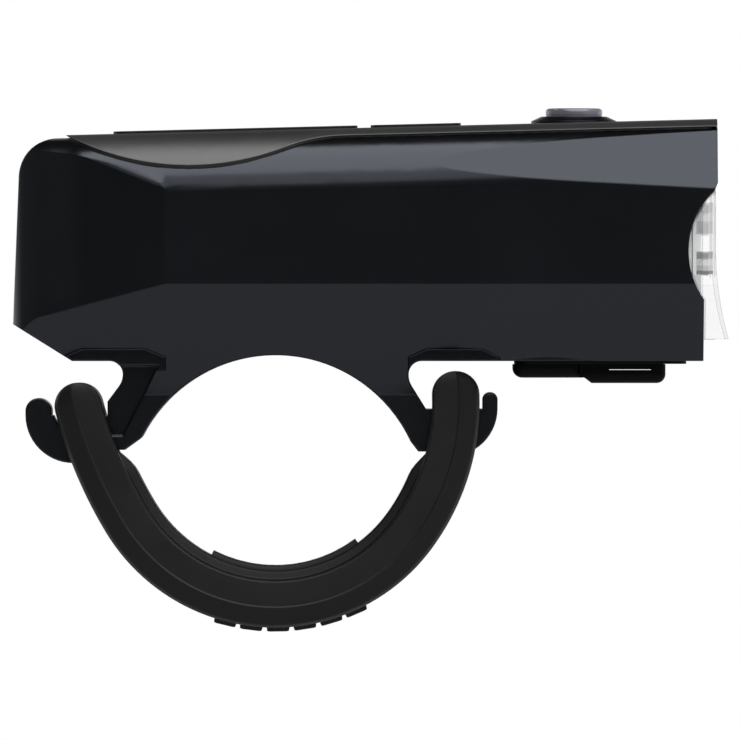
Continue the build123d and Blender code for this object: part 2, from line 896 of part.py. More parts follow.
# Cradle: moulded bed for the cell, with an end wall that carries the front contact
with BuildPart() as battery_cradle:
    bed = inner_section(rear_x + taper_length, cradle_play)
    bed_length = cradle_front_x + cradle_wall - (rear_x + taper_length)
    extrude(bed, amount=bed_length)
    with BuildSketch(Plane.YZ.offset(rear_x)) as trough:
        with Locations((0, cell_z)):
            Circle(cell_diameter / 2 + cell_play)
        with Locations((0, cell_z + body_width / 2)):
            Rectangle(cell_diameter + 2 * cell_play, body_width)
        with Locations((0, floor_z + cradle_height + body_width / 2)):
            Rectangle(body_width, body_width)
    extrude(amount=cradle_front_x - rear_x, mode=Mode.SUBTRACT)
    with BuildSketch(Plane.YZ.offset(cradle_front_x)) as above_wall:
        with Locations((0, cell_z + contact_size / 2 + cradle_wall + body_width / 2)):
            Rectangle(body_width, body_width)
    extrude(amount=2 * cradle_wall, mode=Mode.SUBTRACT)
save(battery_cradle, "battery_cradle")

# Heat sink: plate across the body behind the lamp, clear of the charging socket below it
with BuildPart() as heat_sink:
    extrude(inner_section(sink_x, cradle_play), amount=sink_thickness)
    sink_low_z = usb_board_z + usb_board_thickness + 2 * screw_head_height
    with BuildSketch(Plane.XY.offset(sink_low_z)) as band:
        with Locations((sink_x, 0)):
            Rectangle(2 * sink_thickness, body_width)
    extrude(amount=board_z - sink_headroom - sink_low_z, mode=Mode.INTERSECT)
    with Locations(*[(sink_x + sink_thickness / 2, side * lamp_screw_y, lamp_z) for side in (-1, 1)]):
        Cylinder(usb_screw_radius + fit_gap, 2 * sink_thickness, rotation=(0, 90, 0), mode=Mode.SUBTRACT)
save(heat_sink, "heat_sink")

# Lamp: star board, emitter with its dome, and the two screws into the heat sink
with BuildPart() as led_board:
    with BuildSketch(Plane.YZ.offset(star_x)) as star:
        with Locations((0, lamp_z)):
            Circle(star_diameter / 2)
            with PolarLocations(star_diameter / 2, 6, start_angle=30):
                Circle(screw_diameter / 2, mode=Mode.SUBTRACT)
        with Locations(*[(side * lamp_screw_y, lamp_z) for side in (-1, 1)]):
            Circle(usb_screw_radius + fit_gap, mode=Mode.SUBTRACT)
    extrude(amount=star_thickness)
save(led_board, "led_board")

with BuildPart() as led_emitter:
    with BuildSketch(Plane.YZ.offset(lamp_face_x)) as emitter_foot:
        with Locations((0, lamp_z)):
            RectangleRounded(2 * emitter_radius, 2 * emitter_radius, emitter_radius / 4)
    extrude(amount=emitter_base)
    with BuildSketch(Plane.XY.offset(lamp_z)) as dome:
        with BuildLine():
            tip = (lamp_face_x + emitter_base + emitter_radius * 3 / 4, 0)
            side = (lamp_face_x + emitter_base, emitter_radius * 3 / 4)
            RadiusArc(side, tip, emitter_radius * 3 / 4)
            Polyline(tip, (lamp_face_x + emitter_base, 0), side)
        make_face()
    revolve(axis=Axis((0, 0, lamp_z), (1, 0, 0)))
save(led_emitter, "led_emitter")

with BuildPart() as lamp_screws:
    for side in (-1, 1):
        shank = Plane.YZ.offset(sink_x + sink_thickness / 4)
        with BuildSketch(shank) as shanks:
            with Locations((side * lamp_screw_y, lamp_z)):
                Circle(usb_screw_radius)
        extrude(amount=lamp_face_x - sink_x - sink_thickness / 4)
        with BuildSketch(Plane.YZ.offset(lamp_face_x)) as heads:
            with Locations((side * lamp_screw_y, lamp_z)):
                Circle(2 * usb_screw_radius)
        extrude(amount=screw_head_height)
save(lamp_screws, "lamp_screws")


def bowl_profile(grow):
    """Half profile of the bowl, an arc near to a parabola, from the neck to the front."""
    length = reflector_front_x - bowl_back_x
    reach = bowl_radius - neck_radius
    stations = [
        (bowl_back_x + share * length, lamp_z + neck_radius + grow + reach * sqrt(share))
        for share in (0, bowl_middle_share, 1)
    ]
    with BuildSketch(Plane.XZ) as half:
        with BuildLine():
            bowl = ThreePointArc(*stations)
            front_x = reflector_front_x + overrun
            rim_z = (bowl @ 1).Y
            Polyline(bowl @ 1, (front_x, rim_z), (front_x, lamp_z), (bowl_back_x, lamp_z), bowl @ 0)
        make_face()
    return half.sketch


# Reflector: parabolic bowl in a frame that fills the lens, with a skirt behind the frame
with BuildPart() as reflector:
    frame_inset = lens_play + lens_wall + reflector_play
    frame_back_x = reflector_front_x - reflector_skirt
    extrude(inner_section(frame_back_x, frame_inset), amount=reflector_skirt)
    hollow = inner_section(frame_back_x, frame_inset + reflector_rim)
    extrude(hollow, amount=reflector_skirt - reflector_rim, mode=Mode.SUBTRACT)
    for grow, mode in ((bowl_wall, Mode.ADD), (0, Mode.SUBTRACT)):
        revolve(bowl_profile(grow), axis=Axis((0, 0, lamp_z), (1, 0, 0)), mode=mode)
    split(bisect_by=Plane.YZ.offset(reflector_front_x), keep=Keep.BOTTOM)
save(reflector, "reflector")

# Lens: clear cap that fills the mouth, wraps into the side windows and flares out at the bottom
with BuildPart() as lens:
    body_form(-lens_play / 2)
    low_z = bottom_z + lens_low_height
    flare_z = low_z + lens_flare_height
    window_z = bottom_z + window_top_height
    with BuildSketch(Plane.XZ) as wrap:
        with BuildLine():
            arc = window_arc(lens_play)
            front = [(lens_front_x, flare_z), (lens_front_x + lens_flare, low_z)]
            Polyline(arc @ 1, (lens_front_x, window_z), front[0])
            flare = TangentArc(*front, tangent=(0, -1))
            Polyline(flare @ 1, ((arc @ 0).X, low_z), arc @ 0)
        make_face()
    extrude(wrap.sketch, amount=body_width, both=True, mode=Mode.INTERSECT)
    extrude(inner_section(lens_back_x, lens_play), amount=lens_front_x - lens_back_x)
    hollow_length = lens_front_x - lens_wall - lens_back_x
    hollow = inner_section(lens_back_x, lens_play + lens_wall)
    extrude(hollow, amount=hollow_length, mode=Mode.SUBTRACT)
save(lens, "lens")

with BuildPart() as lens_gasket:
    ring_x = ledge_x + ledge_width
    ring = inner_section(ring_x, lens_play) - inner_section(ring_x, ledge_height)
    extrude(ring, amount=gasket_thickness)
save(lens_gasket, "lens_gasket")

# Charging socket, open downwards, and the small board that it is soldered under
socket_low_z = bottom_z + socket_recess
with BuildPart() as usb_socket:
    with BuildSketch(Plane.XY.offset(socket_low_z)) as shell:
        with Locations((port_x, 0)):
            RectangleRounded(socket_length, socket_width, socket_width / 4)
            inner_length = socket_length - 2 * socket_wall
            inner_width = socket_width - 2 * socket_wall
            RectangleRounded(inner_length, inner_width, inner_width / 4, mode=Mode.SUBTRACT)
    extrude(amount=socket_height)
    with BuildSketch(Plane.XY.offset(socket_low_z + socket_wall)) as tongue:
        with Locations((port_x, 0)):
            Rectangle(inner_length * 2 / 3, socket_wall)
    extrude(amount=socket_height - socket_wall)
    with BuildSketch(Plane.XY.offset(socket_low_z + socket_height - socket_wall)) as back:
        with Locations((port_x, 0)):
            Rectangle(inner_length, inner_width)
    extrude(amount=socket_wall)
save(usb_socket, "usb_socket")

with BuildPart() as usb_board:
    with BuildSketch(Plane.XY.offset(usb_board_z)) as outline:
        with Locations((port_x, 0)):
            RectangleRounded(usb_board_length, usb_board_width, usb_board_thickness)
        with Locations(*usb_posts):
            Circle(usb_screw_radius + fit_gap, mode=Mode.SUBTRACT)
    extrude(amount=usb_board_thickness)
save(usb_board, "usb_board")

# Port plate: thin plate under the body round the charging port
with BuildPart() as port_plate:
    with BuildSketch(Plane.XY.offset(plate_z)) as outline:
        with Locations(((plate_rear_x + plate_front_x) / 2, 0)):
            RectangleRounded(plate_front_x - plate_rear_x, plate_width, plate_width / 6)
        with Locations((port_x, 0)):
            RectangleRounded(port_length, port_width, port_corner, mode=Mode.SUBTRACT)
        with Locations((anchor_x, 0)):
            Circle(anchor_radius + fit_gap, mode=Mode.SUBTRACT)
    extrude(amount=plate_thickness)
save(port_plate, "port_plate")

# Port cover: an anchored slab, and a flap with a plug, a thin slit and a slanted hinge end
with BuildPart() as port_cover_base:
    with BuildSketch(Plane.XZ) as side:
        with Locations(((slab_rear_x + hinge_x - hinge_gap) / 2, slab_z - slab_thickness / 2)):
            Rectangle(hinge_x - hinge_gap - slab_rear_x, slab_thickness)
        fillet(side.vertices().sort_by_distance((slab_rear_x, hinge_z, 0))[0], slab_round)
    extrude(amount=cover_width / 2, both=True)
    fillet(port_cover_base.edges().filter_by(Axis.Z), slab_round)
    with Locations((anchor_x, 0, slab_z + (anchor_length + bottom_z - slab_z) / 2 - fit_gap)):
        Cylinder(anchor_radius, anchor_length + bottom_z - slab_z)
save(port_cover_base, "port_cover_base")

with BuildPart() as port_cover_flap:
    flap_rear_x = hinge_x + hinge_gap
    flap_low_z = slab_z - flap_thickness
    with BuildSketch(Plane.XZ) as side:
        with BuildLine():
            Polyline(
                (flap_rear_x, slab_z),
                (flap_front_x, slab_z),
                (flap_front_x, flap_low_z),
                (flap_rear_x + flap_slant, flap_low_z),
                (flap_rear_x, hinge_z),
                close=True,
            )
        make_face()
        fillet(side.vertices().sort_by_distance((flap_front_x, flap_low_z, 0))[0], flap_round)
        with Locations((flap_front_x - slit_front - slit_length / 2, slab_z - slit_drop)):
            SlotOverall(slit_length, slit_height, mode=Mode.SUBTRACT)
    extrude(amount=cover_width / 2, both=True)
    corners = port_cover_flap.edges().filter_by(Axis.Z).group_by(Axis.X)[-1]
    fillet(corners, flap_round)
    with BuildSketch(Plane.XY.offset(slab_z)) as plug:
        with Locations((port_x, 0)):
            RectangleRounded(plug_length, plug_width, plug_width / 4)
    extrude(amount=plug_height, taper=6)
save(port_cover_flap, "port_cover_flap")

# Screws
with BuildPart() as cover_screws:
    for x, y in cover_posts:
        screw(x, y, lid_top_z(x) - screw_head_height - fit_gap, screw_length, screw_diameter / 2)
save(cover_screws, "cover_screws")

with BuildPart() as board_screws:
    for x, y in board_posts:
        screw(x, y, board_top_z, board_screw_length, screw_diameter / 2)
save(board_screws, "board_screws")

with BuildPart() as usb_screws:
    for x, y in usb_posts:
        seat = usb_board_z + usb_board_thickness
        screw(x, y, seat, usb_screw_length + usb_board_thickness * 3 / 4, usb_screw_radius)
save(usb_screws, "usb_screws")


def strap_point(x_share, drop_share):
    """Point on the strap's middle line, from shares of its span and of its drop below the crossbars."""
    x = rear_bar_x + x_share * (front_bar_x - rear_bar_x)
    bar_z = rear_bar_z + x_share * (front_bar_z - rear_bar_z)
    return (x, bar_z - drop_share * strap_drop)


def belly_band(depth):
    """Side view of a band on the inner side of the strap's two lower arcs."""
    with BuildSketch() as band:
        with BuildLine():
            add([rear_belly, front_belly])
            offset(amount=depth, side=Side.LEFT, closed=True)
        make_face()
    return band.sketch


def grip_pad():
    """Side view of the raised pad inside the web, which grips the handlebar."""
    with BuildSketch() as pad:
        add(belly_band(crossbar_radius + web_proud + grip_rise))
        with Locations(((grip_rear_x + grip_front_x) / 2, -strap_drop / 2)):
            Rectangle(grip_front_x - grip_rear_x, strap_drop, mode=Mode.INTERSECT)
    return pad.sketch


def rib(x):
    """Side view of one rib, which stands out of the web, square to the strap's middle line."""
    arc = rear_belly if x < low_point[0] else front_belly
    turn = atan2(x - arc.arc_center.X, arc.radius)
    root = arc.radius - web_proud
    foot = (arc.arc_center.X + root * sin(turn), arc.arc_center.Y - root * cos(turn), 0)
    rib_height = web_proud + crossbar_radius + rib_rise
    with BuildSketch() as shape:
        with Locations(Location(foot, (0, 0, degrees(turn)))):
            Rectangle(rib_length, rib_height, align=(Align.CENTER, Align.MAX))
    return shape.sketch


# Strap: one rubber loop, two strands joined by a crossbar in each hook and by the web between
start_tilt = radians(strap_start_tilt)
rear_knee = strap_point(*strap_rear_share)
low_point = strap_point(*strap_low_share)
front_knee = strap_point(*strap_front_share)
with BuildLine() as strap_route:
    start_tangent = (sin(start_tilt), -cos(start_tilt))
    rear_arc = TangentArc((rear_bar_x, rear_bar_z), rear_knee, tangent=start_tangent)
    rear_belly = TangentArc(rear_knee, low_point, tangent=rear_arc % 1)
    front_belly = TangentArc(low_point, front_knee, tangent=rear_belly % 1)
    TangentArc(front_knee, (front_bar_x, front_bar_z), tangent=front_belly % 1)
half_gap = strap_gap / 2
rib_pitch = (rib_front_x - rib_rear_x) / rib_count
with BuildPart() as strap:
    for side in (-1, 1):
        with BuildSketch(Plane.XZ.offset(side * half_gap)) as rail:
            with BuildLine():
                add(strap_route.line)
                offset(amount=crossbar_radius)
            make_face()
        extrude(amount=side * strand_width)
    fillet(strap.edges().filter_by(Plane.XZ), strand_round)
    with BuildSketch(Plane.XZ) as bars:
        with Locations((rear_bar_x, rear_bar_z), (front_bar_x, front_bar_z)):
            Circle(crossbar_radius)
    extrude(amount=half_gap + strand_round, both=True)
    with BuildSketch(Plane.XZ) as middle:
        add(belly_band(crossbar_radius + web_proud))
        add(grip_pad())
        for step in range(rib_count):
            add(rib(rib_rear_x + rib_pitch / 2 + step * rib_pitch))
    extrude(amount=half_gap, both=True)
save(strap, "strap")


def lead(*points):
    """Add one lead along a route of straight runs, with bends as wide as its last run allows."""
    with BuildLine() as route:
        if len(points) > 2:
            last_run = abs(points[-1][2] - points[-2][2])
            FilletPolyline(*points, radius=lead_bend_share * last_run)
        else:
            Line(*points)
    with BuildSketch(Plane(origin=route.line @ 0, z_dir=route.line % 0)) as wire:
        Circle(lead_radius)
    return sweep(wire.sketch, path=route.line)


# Leads: from the two battery contacts, the lamp and the charging board to the main board
with BuildPart() as battery_leads:
    start_z = cell_z + contact_size / 4
    cell_side_z = cell_z + sqrt((cell_diameter / 2) ** 2 - battery_lead_y**2)
    run_z = cell_side_z + lead_gap + lead_radius
    rear_run_x = rear_contact_x - lead_radius
    lead(
        (rear_run_x, -battery_lead_y, start_z),
        (rear_run_x, -battery_lead_y, run_z),
        (battery_lead_x, -battery_lead_y, run_z),
        (battery_lead_x, -battery_lead_y, board_z),
    )
    front_run_x = front_contact_x - lead_radius
    lead((front_run_x, battery_lead_y, start_z), (front_run_x, battery_lead_y, board_z))
save(battery_leads, "battery_leads")

with BuildPart() as led_leads:
    for side in (-1, 1):
        y = side * led_lead_y
        x = lamp_face_x + lead_radius
        lead((x, y, lamp_z + led_lead_height), (x, y, board_z))
save(led_leads, "led_leads")

with BuildPart() as usb_leads:
    for side in (-1, 1):
        y = side * usb_lead_y
        lead((usb_lead_x, y, usb_board_z + usb_board_thickness), (usb_lead_x, y, board_z))
save(usb_leads, "usb_leads")
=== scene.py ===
from math import atan2, cos, pi, radians, sin, tan

import bmesh
import bpy
from mathutils import Matrix, Vector
from mathutils.bvhtree import BVHTree


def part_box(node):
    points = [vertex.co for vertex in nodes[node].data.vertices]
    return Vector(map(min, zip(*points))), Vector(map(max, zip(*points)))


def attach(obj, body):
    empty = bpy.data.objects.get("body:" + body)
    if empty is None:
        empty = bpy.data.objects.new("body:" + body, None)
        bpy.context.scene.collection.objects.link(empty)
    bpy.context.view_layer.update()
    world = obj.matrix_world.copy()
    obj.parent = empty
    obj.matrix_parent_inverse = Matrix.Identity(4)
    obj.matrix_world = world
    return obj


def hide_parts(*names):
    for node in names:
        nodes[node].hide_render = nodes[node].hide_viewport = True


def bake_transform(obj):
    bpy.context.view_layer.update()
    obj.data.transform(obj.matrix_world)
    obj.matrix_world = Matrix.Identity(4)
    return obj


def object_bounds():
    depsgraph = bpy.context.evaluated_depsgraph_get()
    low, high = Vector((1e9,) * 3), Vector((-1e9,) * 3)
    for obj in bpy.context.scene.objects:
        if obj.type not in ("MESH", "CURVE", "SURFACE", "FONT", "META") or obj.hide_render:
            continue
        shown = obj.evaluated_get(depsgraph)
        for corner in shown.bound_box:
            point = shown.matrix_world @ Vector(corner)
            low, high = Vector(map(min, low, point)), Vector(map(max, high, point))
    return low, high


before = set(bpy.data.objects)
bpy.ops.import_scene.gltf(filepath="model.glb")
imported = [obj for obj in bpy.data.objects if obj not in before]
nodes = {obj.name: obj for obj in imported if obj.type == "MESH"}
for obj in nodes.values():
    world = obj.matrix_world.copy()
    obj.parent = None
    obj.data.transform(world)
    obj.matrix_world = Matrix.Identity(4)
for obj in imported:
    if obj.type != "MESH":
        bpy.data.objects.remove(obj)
cad_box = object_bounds()


# Camera: the light is seen square from its left side, through a long lens, against plain white.
# The photograph is 740 px wide, and its scale is measured on the near side of the body.
mm = 0.001
photo_width = 740
photo_scale = 8.3 / mm
photo_origin_x = 274.8
photo_origin_y = 505
camera_distance = 2500 * mm
side_y = -16 * mm
sensor_width = 36
clip_near = 10 * mm
clip_far = 20


def new_object(name, data):
    """Object in the scene for some data."""
    made = bpy.data.objects.new(name, data)
    bpy.context.scene.collection.objects.link(made)
    return made


bpy.context.scene.view_settings.view_transform = "Standard"
seen_width = photo_width / photo_scale
camera_data = bpy.data.cameras.new("camera")
camera_data.sensor_width = sensor_width
camera_data.lens = sensor_width * (camera_distance + side_y) / seen_width
camera_data.clip_start = clip_near
camera_data.clip_end = clip_far
camera = new_object("camera", camera_data)
camera.location = (
    (photo_width / 2 - photo_origin_x) / photo_scale,
    -camera_distance,
    (photo_origin_y - photo_width / 2) / photo_scale,
)
camera.rotation_euler = (radians(90), 0, 0)
bpy.context.scene.camera = camera


# Floor and backdrop: one pale sweep below and behind the light. To the camera it turns into plain
# white away from the light, and close to the light it keeps the shadow.
floor_drop = 30 * mm
floor_size = 12.0
floor_colour = (0.5, 0.5, 0.5, 1)
floor_near_white = 0.86
floor_glossy_white = 0.1
shadow_near = 0.12
shadow_far = 0.5


class Socket:
    """Output socket of a node, so that shader maths reads as plain Python."""

    def __init__(self, tree, socket=None):
        self.tree = tree
        self.socket = socket

    def node(self, kind, settings=None, output=0, **values):
        """Add a node, make its settings, then fill its sockets with values or links.

        A socket goes by its name, or by its number as i0, i1 and so on.
        """
        made = self.tree.nodes.new("ShaderNode" + kind)
        for name, value in (settings or {}).items():
            setattr(made, name, value)
        for name, value in values.items():
            target = made.inputs[int(name[1:]) if name[1:].isdigit() else name.replace("_", " ")]
            if isinstance(value, Socket):
                self.tree.links.new(value.socket, target)
            else:
                target.default_value = value
        return Socket(self.tree, made.outputs[output])

    def math(self, operation, first, second=0.0):
        return self.node("Math", {"operation": operation}, i0=first, i1=second)

    def __add__(self, other):
        return self.math("ADD", self, other)

    def __radd__(self, other):
        return self.math("ADD", other, self)

    def __sub__(self, other):
        return self.math("SUBTRACT", self, other)

    def __rsub__(self, other):
        return self.math("SUBTRACT", other, self)

    def __mul__(self, other):
        return self.math("MULTIPLY", self, other)

    def __rmul__(self, other):
        return self.math("MULTIPLY", other, self)

    def __abs__(self):
        return self.math("ABSOLUTE", self)

    def part(self, axis):
        """One of a vector's three numbers."""
        return self.node("SeparateXYZ", output=axis, Vector=self)

    def clamp(self, low, high):
        """Share of the way from one value to another, kept between 0 and 1.

        Noise lies mostly near 0.5, so close values give it the whole range between two tones.
        """
        return self.node("MapRange", {"clamp": True}, i0=self, i1=low, i2=high, i3=0.0, i4=1.0)

    def mix(self, low, high):
        """Colour between two colours, by this mask."""
        data = {"data_type": "RGBA", "blend_type": "MIX"}
        return self.node("Mix", data, 2, i0=self, i6=low, i7=high)


floor_z = cad_box[0].z - floor_drop
half = floor_size / 2
corners = [
    (-half, -half, floor_z), (half, -half, floor_z), (half, half, floor_z), (-half, half, floor_z),
]
floor_mesh = bpy.data.meshes.new("floor")
floor_mesh.from_pydata(corners, [], [(0, 1, 2, 3)])
floor_finish = bpy.data.materials.new("pale_floor")
floor_finish.use_nodes = True
floor_tree = floor_finish.node_tree
floor_tree.nodes.remove(floor_tree.nodes["Principled BSDF"])
start = Socket(floor_tree)
place = start.node("TexCoord", output=3)
away = place.node("VectorMath", {"operation": "LENGTH"}, 1, i0=place).clamp(shadow_near, shadow_far)
seen = start.node("LightPath", output="Is Camera Ray")
clear = start.node("LightPath", output="Is Transmission Ray")
mirrored = start.node("LightPath", output="Is Glossy Ray")
whiteness = away * (1 - floor_near_white) + floor_near_white
share = start.math("MAXIMUM", seen, clear) * whiteness + mirrored * floor_glossy_white
paper = start.node("BsdfDiffuse", Color=floor_colour)
white = start.node("Emission", Color=(1, 1, 1, 1), Strength=1.0)
both = start.node("MixShader", i0=share, i1=paper, i2=white)
floor_tree.links.new(both.socket, floor_tree.nodes["Material Output"].inputs["Surface"])
floor_mesh.materials.append(floor_finish)
floor = new_object("floor", floor_mesh)


# Room light: white backdrop behind the light, dark room in front of it, so the black body keeps
# its depth. Large softboxes above light it, and their edges draw the bands on its shoulders.
backdrop_level = 0.8
backdrop_edge = (0.15, 0.6)
backdrop_top = (0.1, 0.45)
side_level = 0.2
side_edge = (0.45, 1.0)
side_top = (0.2, 0.7)
dark_level = 0.01
glass_level = 0.72
glass_depth = (0.5, 0.6)
glass_edge = (-0.2, 0.5)

world = bpy.data.worlds.new("room")
world.use_nodes = True
bpy.context.scene.world = world
world_tree = world.node_tree
start = Socket(world_tree)
towards = start.node("TexCoord", output=0)
across, backwards, upwards = [towards.part(axis) for axis in range(3)]
behind = backwards.clamp(*backdrop_edge) * (1 - upwards.clamp(*backdrop_top))
beside = abs(across).clamp(*side_edge) * (1 - upwards.clamp(*side_top))
seen = start.node("LightPath", output="Is Camera Ray")
clear = start.node("LightPath", output="Is Transmission Ray")
in_glass = start.node("LightPath", output="Transmission Depth").clamp(*glass_depth)
plain = start.math("MAXIMUM", seen, clear)
level = start.math(
    "MAXIMUM", behind * backdrop_level + beside * side_level + dark_level,
    in_glass * (glass_level + backwards.clamp(*glass_edge) * (1 - glass_level)),
)
strength = plain + (1 - plain) * level
background = world_tree.nodes["Background"]
background.inputs["Color"].default_value = (1, 1, 1, 1)
world_tree.links.new(strength.socket, background.inputs["Strength"])


def softbox(name, centre, target, width, height, level):
    """Rectangular soft light that faces a target and looks as bright as a level, 1 being white."""
    data = bpy.data.lights.new(name, "AREA")
    data.shape = "RECTANGLE"
    data.size = width
    data.size_y = height
    data.energy = level * pi * width * height
    lamp = new_object(name, data)
    lamp.location = centre
    lamp.visible_camera = False
    aim = Vector(target) - Vector(centre)
    lamp.rotation_euler = aim.to_track_quat("-Z", "Y").to_euler()


softbox(
    "top_softbox", centre=(0.265, -0.31, 0.69), target=(0.265, 0, 0.03),
    width=1.17, height=0.81, level=3.4,
)
softbox(
    "front_softbox", centre=(0.215, -0.79, 0.395), target=(0.215, 0, 0.03),
    width=1.07, height=0.37, level=1.5,
)
softbox(
    "rear_softbox", centre=(-0.5, 0.2, 0.62), target=(-0.02, 0, 0.03),
    width=0.2, height=0.14, level=4.0,
)


# Housing: one satin black plastic moulding with the body shell, the handlebar seat and both
# hooks. It has a very fine mould grain, paler edges from handling and a softly rolled rear.
body_black = (0.002, 0.0021, 0.0025)
body_tint = (0.8, 0.87, 1.0, 1)
skin_dark = 0.86
skin_pale = 1.14
mottle = (0.35, 0.65)
worn_patches = (0.4, 0.6)
edge_span = (0.01, 0.12)
grain_rough = 0.08
corner_start_x = -22.3 * mm
corner_end_x = -30.7 * mm
corner_low_z = 21.5 * mm
corner_high_z = 25 * mm
corner_lean = 1.7
shoulder_x = -13.2 * mm
shoulder_z = 37.9 * mm
shoulder_slope = 0.396
shoulder_start = 1 * mm
shoulder_fade = 1.3 * mm
shoulder_lean = 0.62


def material(name, build, **constants):
    """Procedural material. build gets the tree's object coordinates and the shader's sockets."""
    made = bpy.data.materials.new(name)
    made.use_nodes = True
    tree = made.node_tree
    shader = tree.nodes["Principled BSDF"]
    for socket, value in constants.items():
        shader.inputs[socket.replace("_", " ")].default_value = value
    place = Socket(tree).node("TexCoord", output=3)
    for socket, value in build(place).items():
        tree.links.new(value.socket, shader.inputs[socket.replace("_", " ")])
    return made


def dress(finish, *names):
    """Give CAD nodes a finish in all their material slots."""
    for name in names:
        for slot in nodes[name].material_slots:
            slot.material = finish


def shade(base, level):
    """Opaque colour that is a base colour times a level."""
    return tuple(part * level for part in base) + (1,)


def edge_turn(place, rounded):
    """How far rounded normals turn away from their flat faces, which is 0 but at edges."""
    flat = place.node("NewGeometry", output=1)
    return 1 - place.node("VectorMath", {"operation": "DOT_PRODUCT"}, 1, i0=rounded, i1=flat)


def moulding(base, grain, grain_depth, rough, rough_spread, edge_radius, worn, roll=None):
    """Moulded plastic: fine grain in the bump, soft shading in colour, paler rubbed edges."""

    def build(place):
        fine = place.node("TexNoise", Vector=place, Scale=grain, Detail=3.0, Roughness=0.6)
        broad = place.node("TexNoise", Vector=place, Scale=60.0, Detail=4.0, Roughness=0.55)
        rounded = place.node("Bevel", {"samples": 8}, Radius=edge_radius)
        if roll:
            rounded = roll(place, rounded)
        rubbed = edge_turn(place, rounded).clamp(*edge_span) * broad.clamp(*worn_patches)
        skin = broad.clamp(*mottle).mix(shade(base, skin_dark), shade(base, skin_pale))
        return {
            "Base_Color": rubbed.mix(skin, shade(base, worn)),
            "Roughness": rough + (broad - 0.5) * rough_spread + (fine - 0.5) * grain_rough,
            "Normal": place.node(
                "Bump", Height=fine, Strength=1.0, Distance=grain_depth, Normal=rounded
            ),
        }

    return build


def rolled_rear(place, rounded):
    """Normals that lean backwards over the rear corner and upwards on the rear shoulder."""
    along, height = place.part(0), place.part(2)
    behind = 1 - along.clamp(corner_end_x, corner_start_x)
    above = height.clamp(corner_low_z, corner_high_z)
    over = (height - shoulder_z - (shoulder_x - along) * shoulder_slope).clamp(0, shoulder_fade)
    lift = place.math("MAXIMUM", shoulder_lean - rounded.part(2), 0.0)
    lift = lift * over * (1 - along.clamp(shoulder_x - shoulder_start, shoulder_x))
    leaning = place.node(
        "CombineXYZ", X=rounded.part(0) - behind * (1 - behind) * above * corner_lean,
        Y=rounded.part(1), Z=rounded.part(2) + lift,
    )
    return place.node("VectorMath", {"operation": "NORMALIZE"}, i0=leaning)


body_skin = moulding(
    body_black, grain=9000, grain_depth=0.003 * mm, rough=0.21, rough_spread=0.04,
    edge_radius=0.3 * mm, worn=2.2, roll=rolled_rear,
)
dress(material("satin_black_body", body_skin, IOR=1.5, Specular_Tint=body_tint), "housing")


# Lid: matte dark grey plastic moulding with a coarser spark-eroded grain. Four steel screws with
# blackened heads hold it from above.
lid_grey = (0.0185, 0.0185, 0.0192)
black_steel = (0.03, 0.03, 0.032)
mark_stretch = 0.05
mark_rough = 0.1
stain_rough = 0.2

lid_skin = moulding(
    lid_grey, grain=5200, grain_depth=0.02 * mm, rough=0.42, rough_spread=0.08,
    edge_radius=0.25 * mm, worn=1.4,
)
dress(material("grainy_grey_lid", lid_skin, IOR=1.7), "top_cover")


def worked_metal(base, dark_share, rough, mark_scale, mark_depth):
    """Metal with fine tool marks, stains in its roughness and a slightly uneven tone."""

    def build(place):
        stretched = place.node(
            "Mapping", Vector=place, Scale=(mark_scale * mark_stretch, mark_scale, mark_scale)
        )
        marks = place.node("TexNoise", Vector=stretched, Scale=1.0, Detail=4.0, Roughness=0.6)
        stains = place.node("TexNoise", Vector=place, Scale=350.0, Detail=5.0)
        rounded = place.node("Bevel", {"samples": 4}, Radius=0.08 * mm)
        tone = (stains * 0.5 + marks * 0.5).clamp(*mottle)
        return {
            "Base_Color": tone.mix(shade(base, dark_share), shade(base, 1)),
            "Roughness": rough + (stains - 0.5) * stain_rough + (marks - 0.5) * mark_rough,
            "Normal": place.node("Bump", Height=marks, Distance=mark_depth, Normal=rounded),
        }

    return build


black_marks = worked_metal(
    black_steel, dark_share=0.6, rough=0.4, mark_scale=4000, mark_depth=0.005 * mm
)
dress(material("blackened_screws", black_marks, Metallic=1.0), "cover_screws")


# Lid seal: a soft black rubber bead that is pressed into the joint under the lid and stands out
# of it as a thin round lip along both sides.
rubber_black = (0.0045, 0.0045, 0.0048)
rubber_clean = 0.9
rubber_rough = 0.5
flow_span = (0.35, 0.75)
flow_share = 0.6
flow_rough = 0.18
speck_span = (0.6, 0.8)
speck_share = 0.4
fine_rough = 0.1
seal_radius = 0.3 * mm
seal_sink = 0.06 * mm
seal_drop = 0.19 * mm
seal_sides = 8
seal_step = 0.7 * mm
seal_rear_inset = 6.6 * mm
seal_front_inset = 0.6 * mm
seam_start = 0.1 * mm
seam_step = 0.05 * mm
merge_distance = 0.00001 * mm


def rubber(base, dust):
    """Black rubber: fine matte grain, soft mould flow and a little dust in the open."""

    def build(place):
        fine = place.node("TexNoise", Vector=place, Scale=6500.0, Detail=4.0, Roughness=0.65)
        flow = place.node("TexNoise", Vector=place, Scale=150.0, Detail=5.0, Distortion=0.6)
        specks = place.node("TexNoise", Vector=place, Scale=1900.0, Detail=2.0)
        dusty = flow.clamp(*flow_span) * flow_share + specks.clamp(*speck_span) * speck_share
        return {
            "Base_Color": dusty.mix(shade(base, rubber_clean), shade(base, dust)),
            "Roughness": rubber_rough + (flow - 0.5) * flow_rough + (fine - 0.5) * fine_rough,
            "Normal": place.node("Bump", Height=fine, Strength=1.0, Distance=0.008 * mm),
        }

    return build


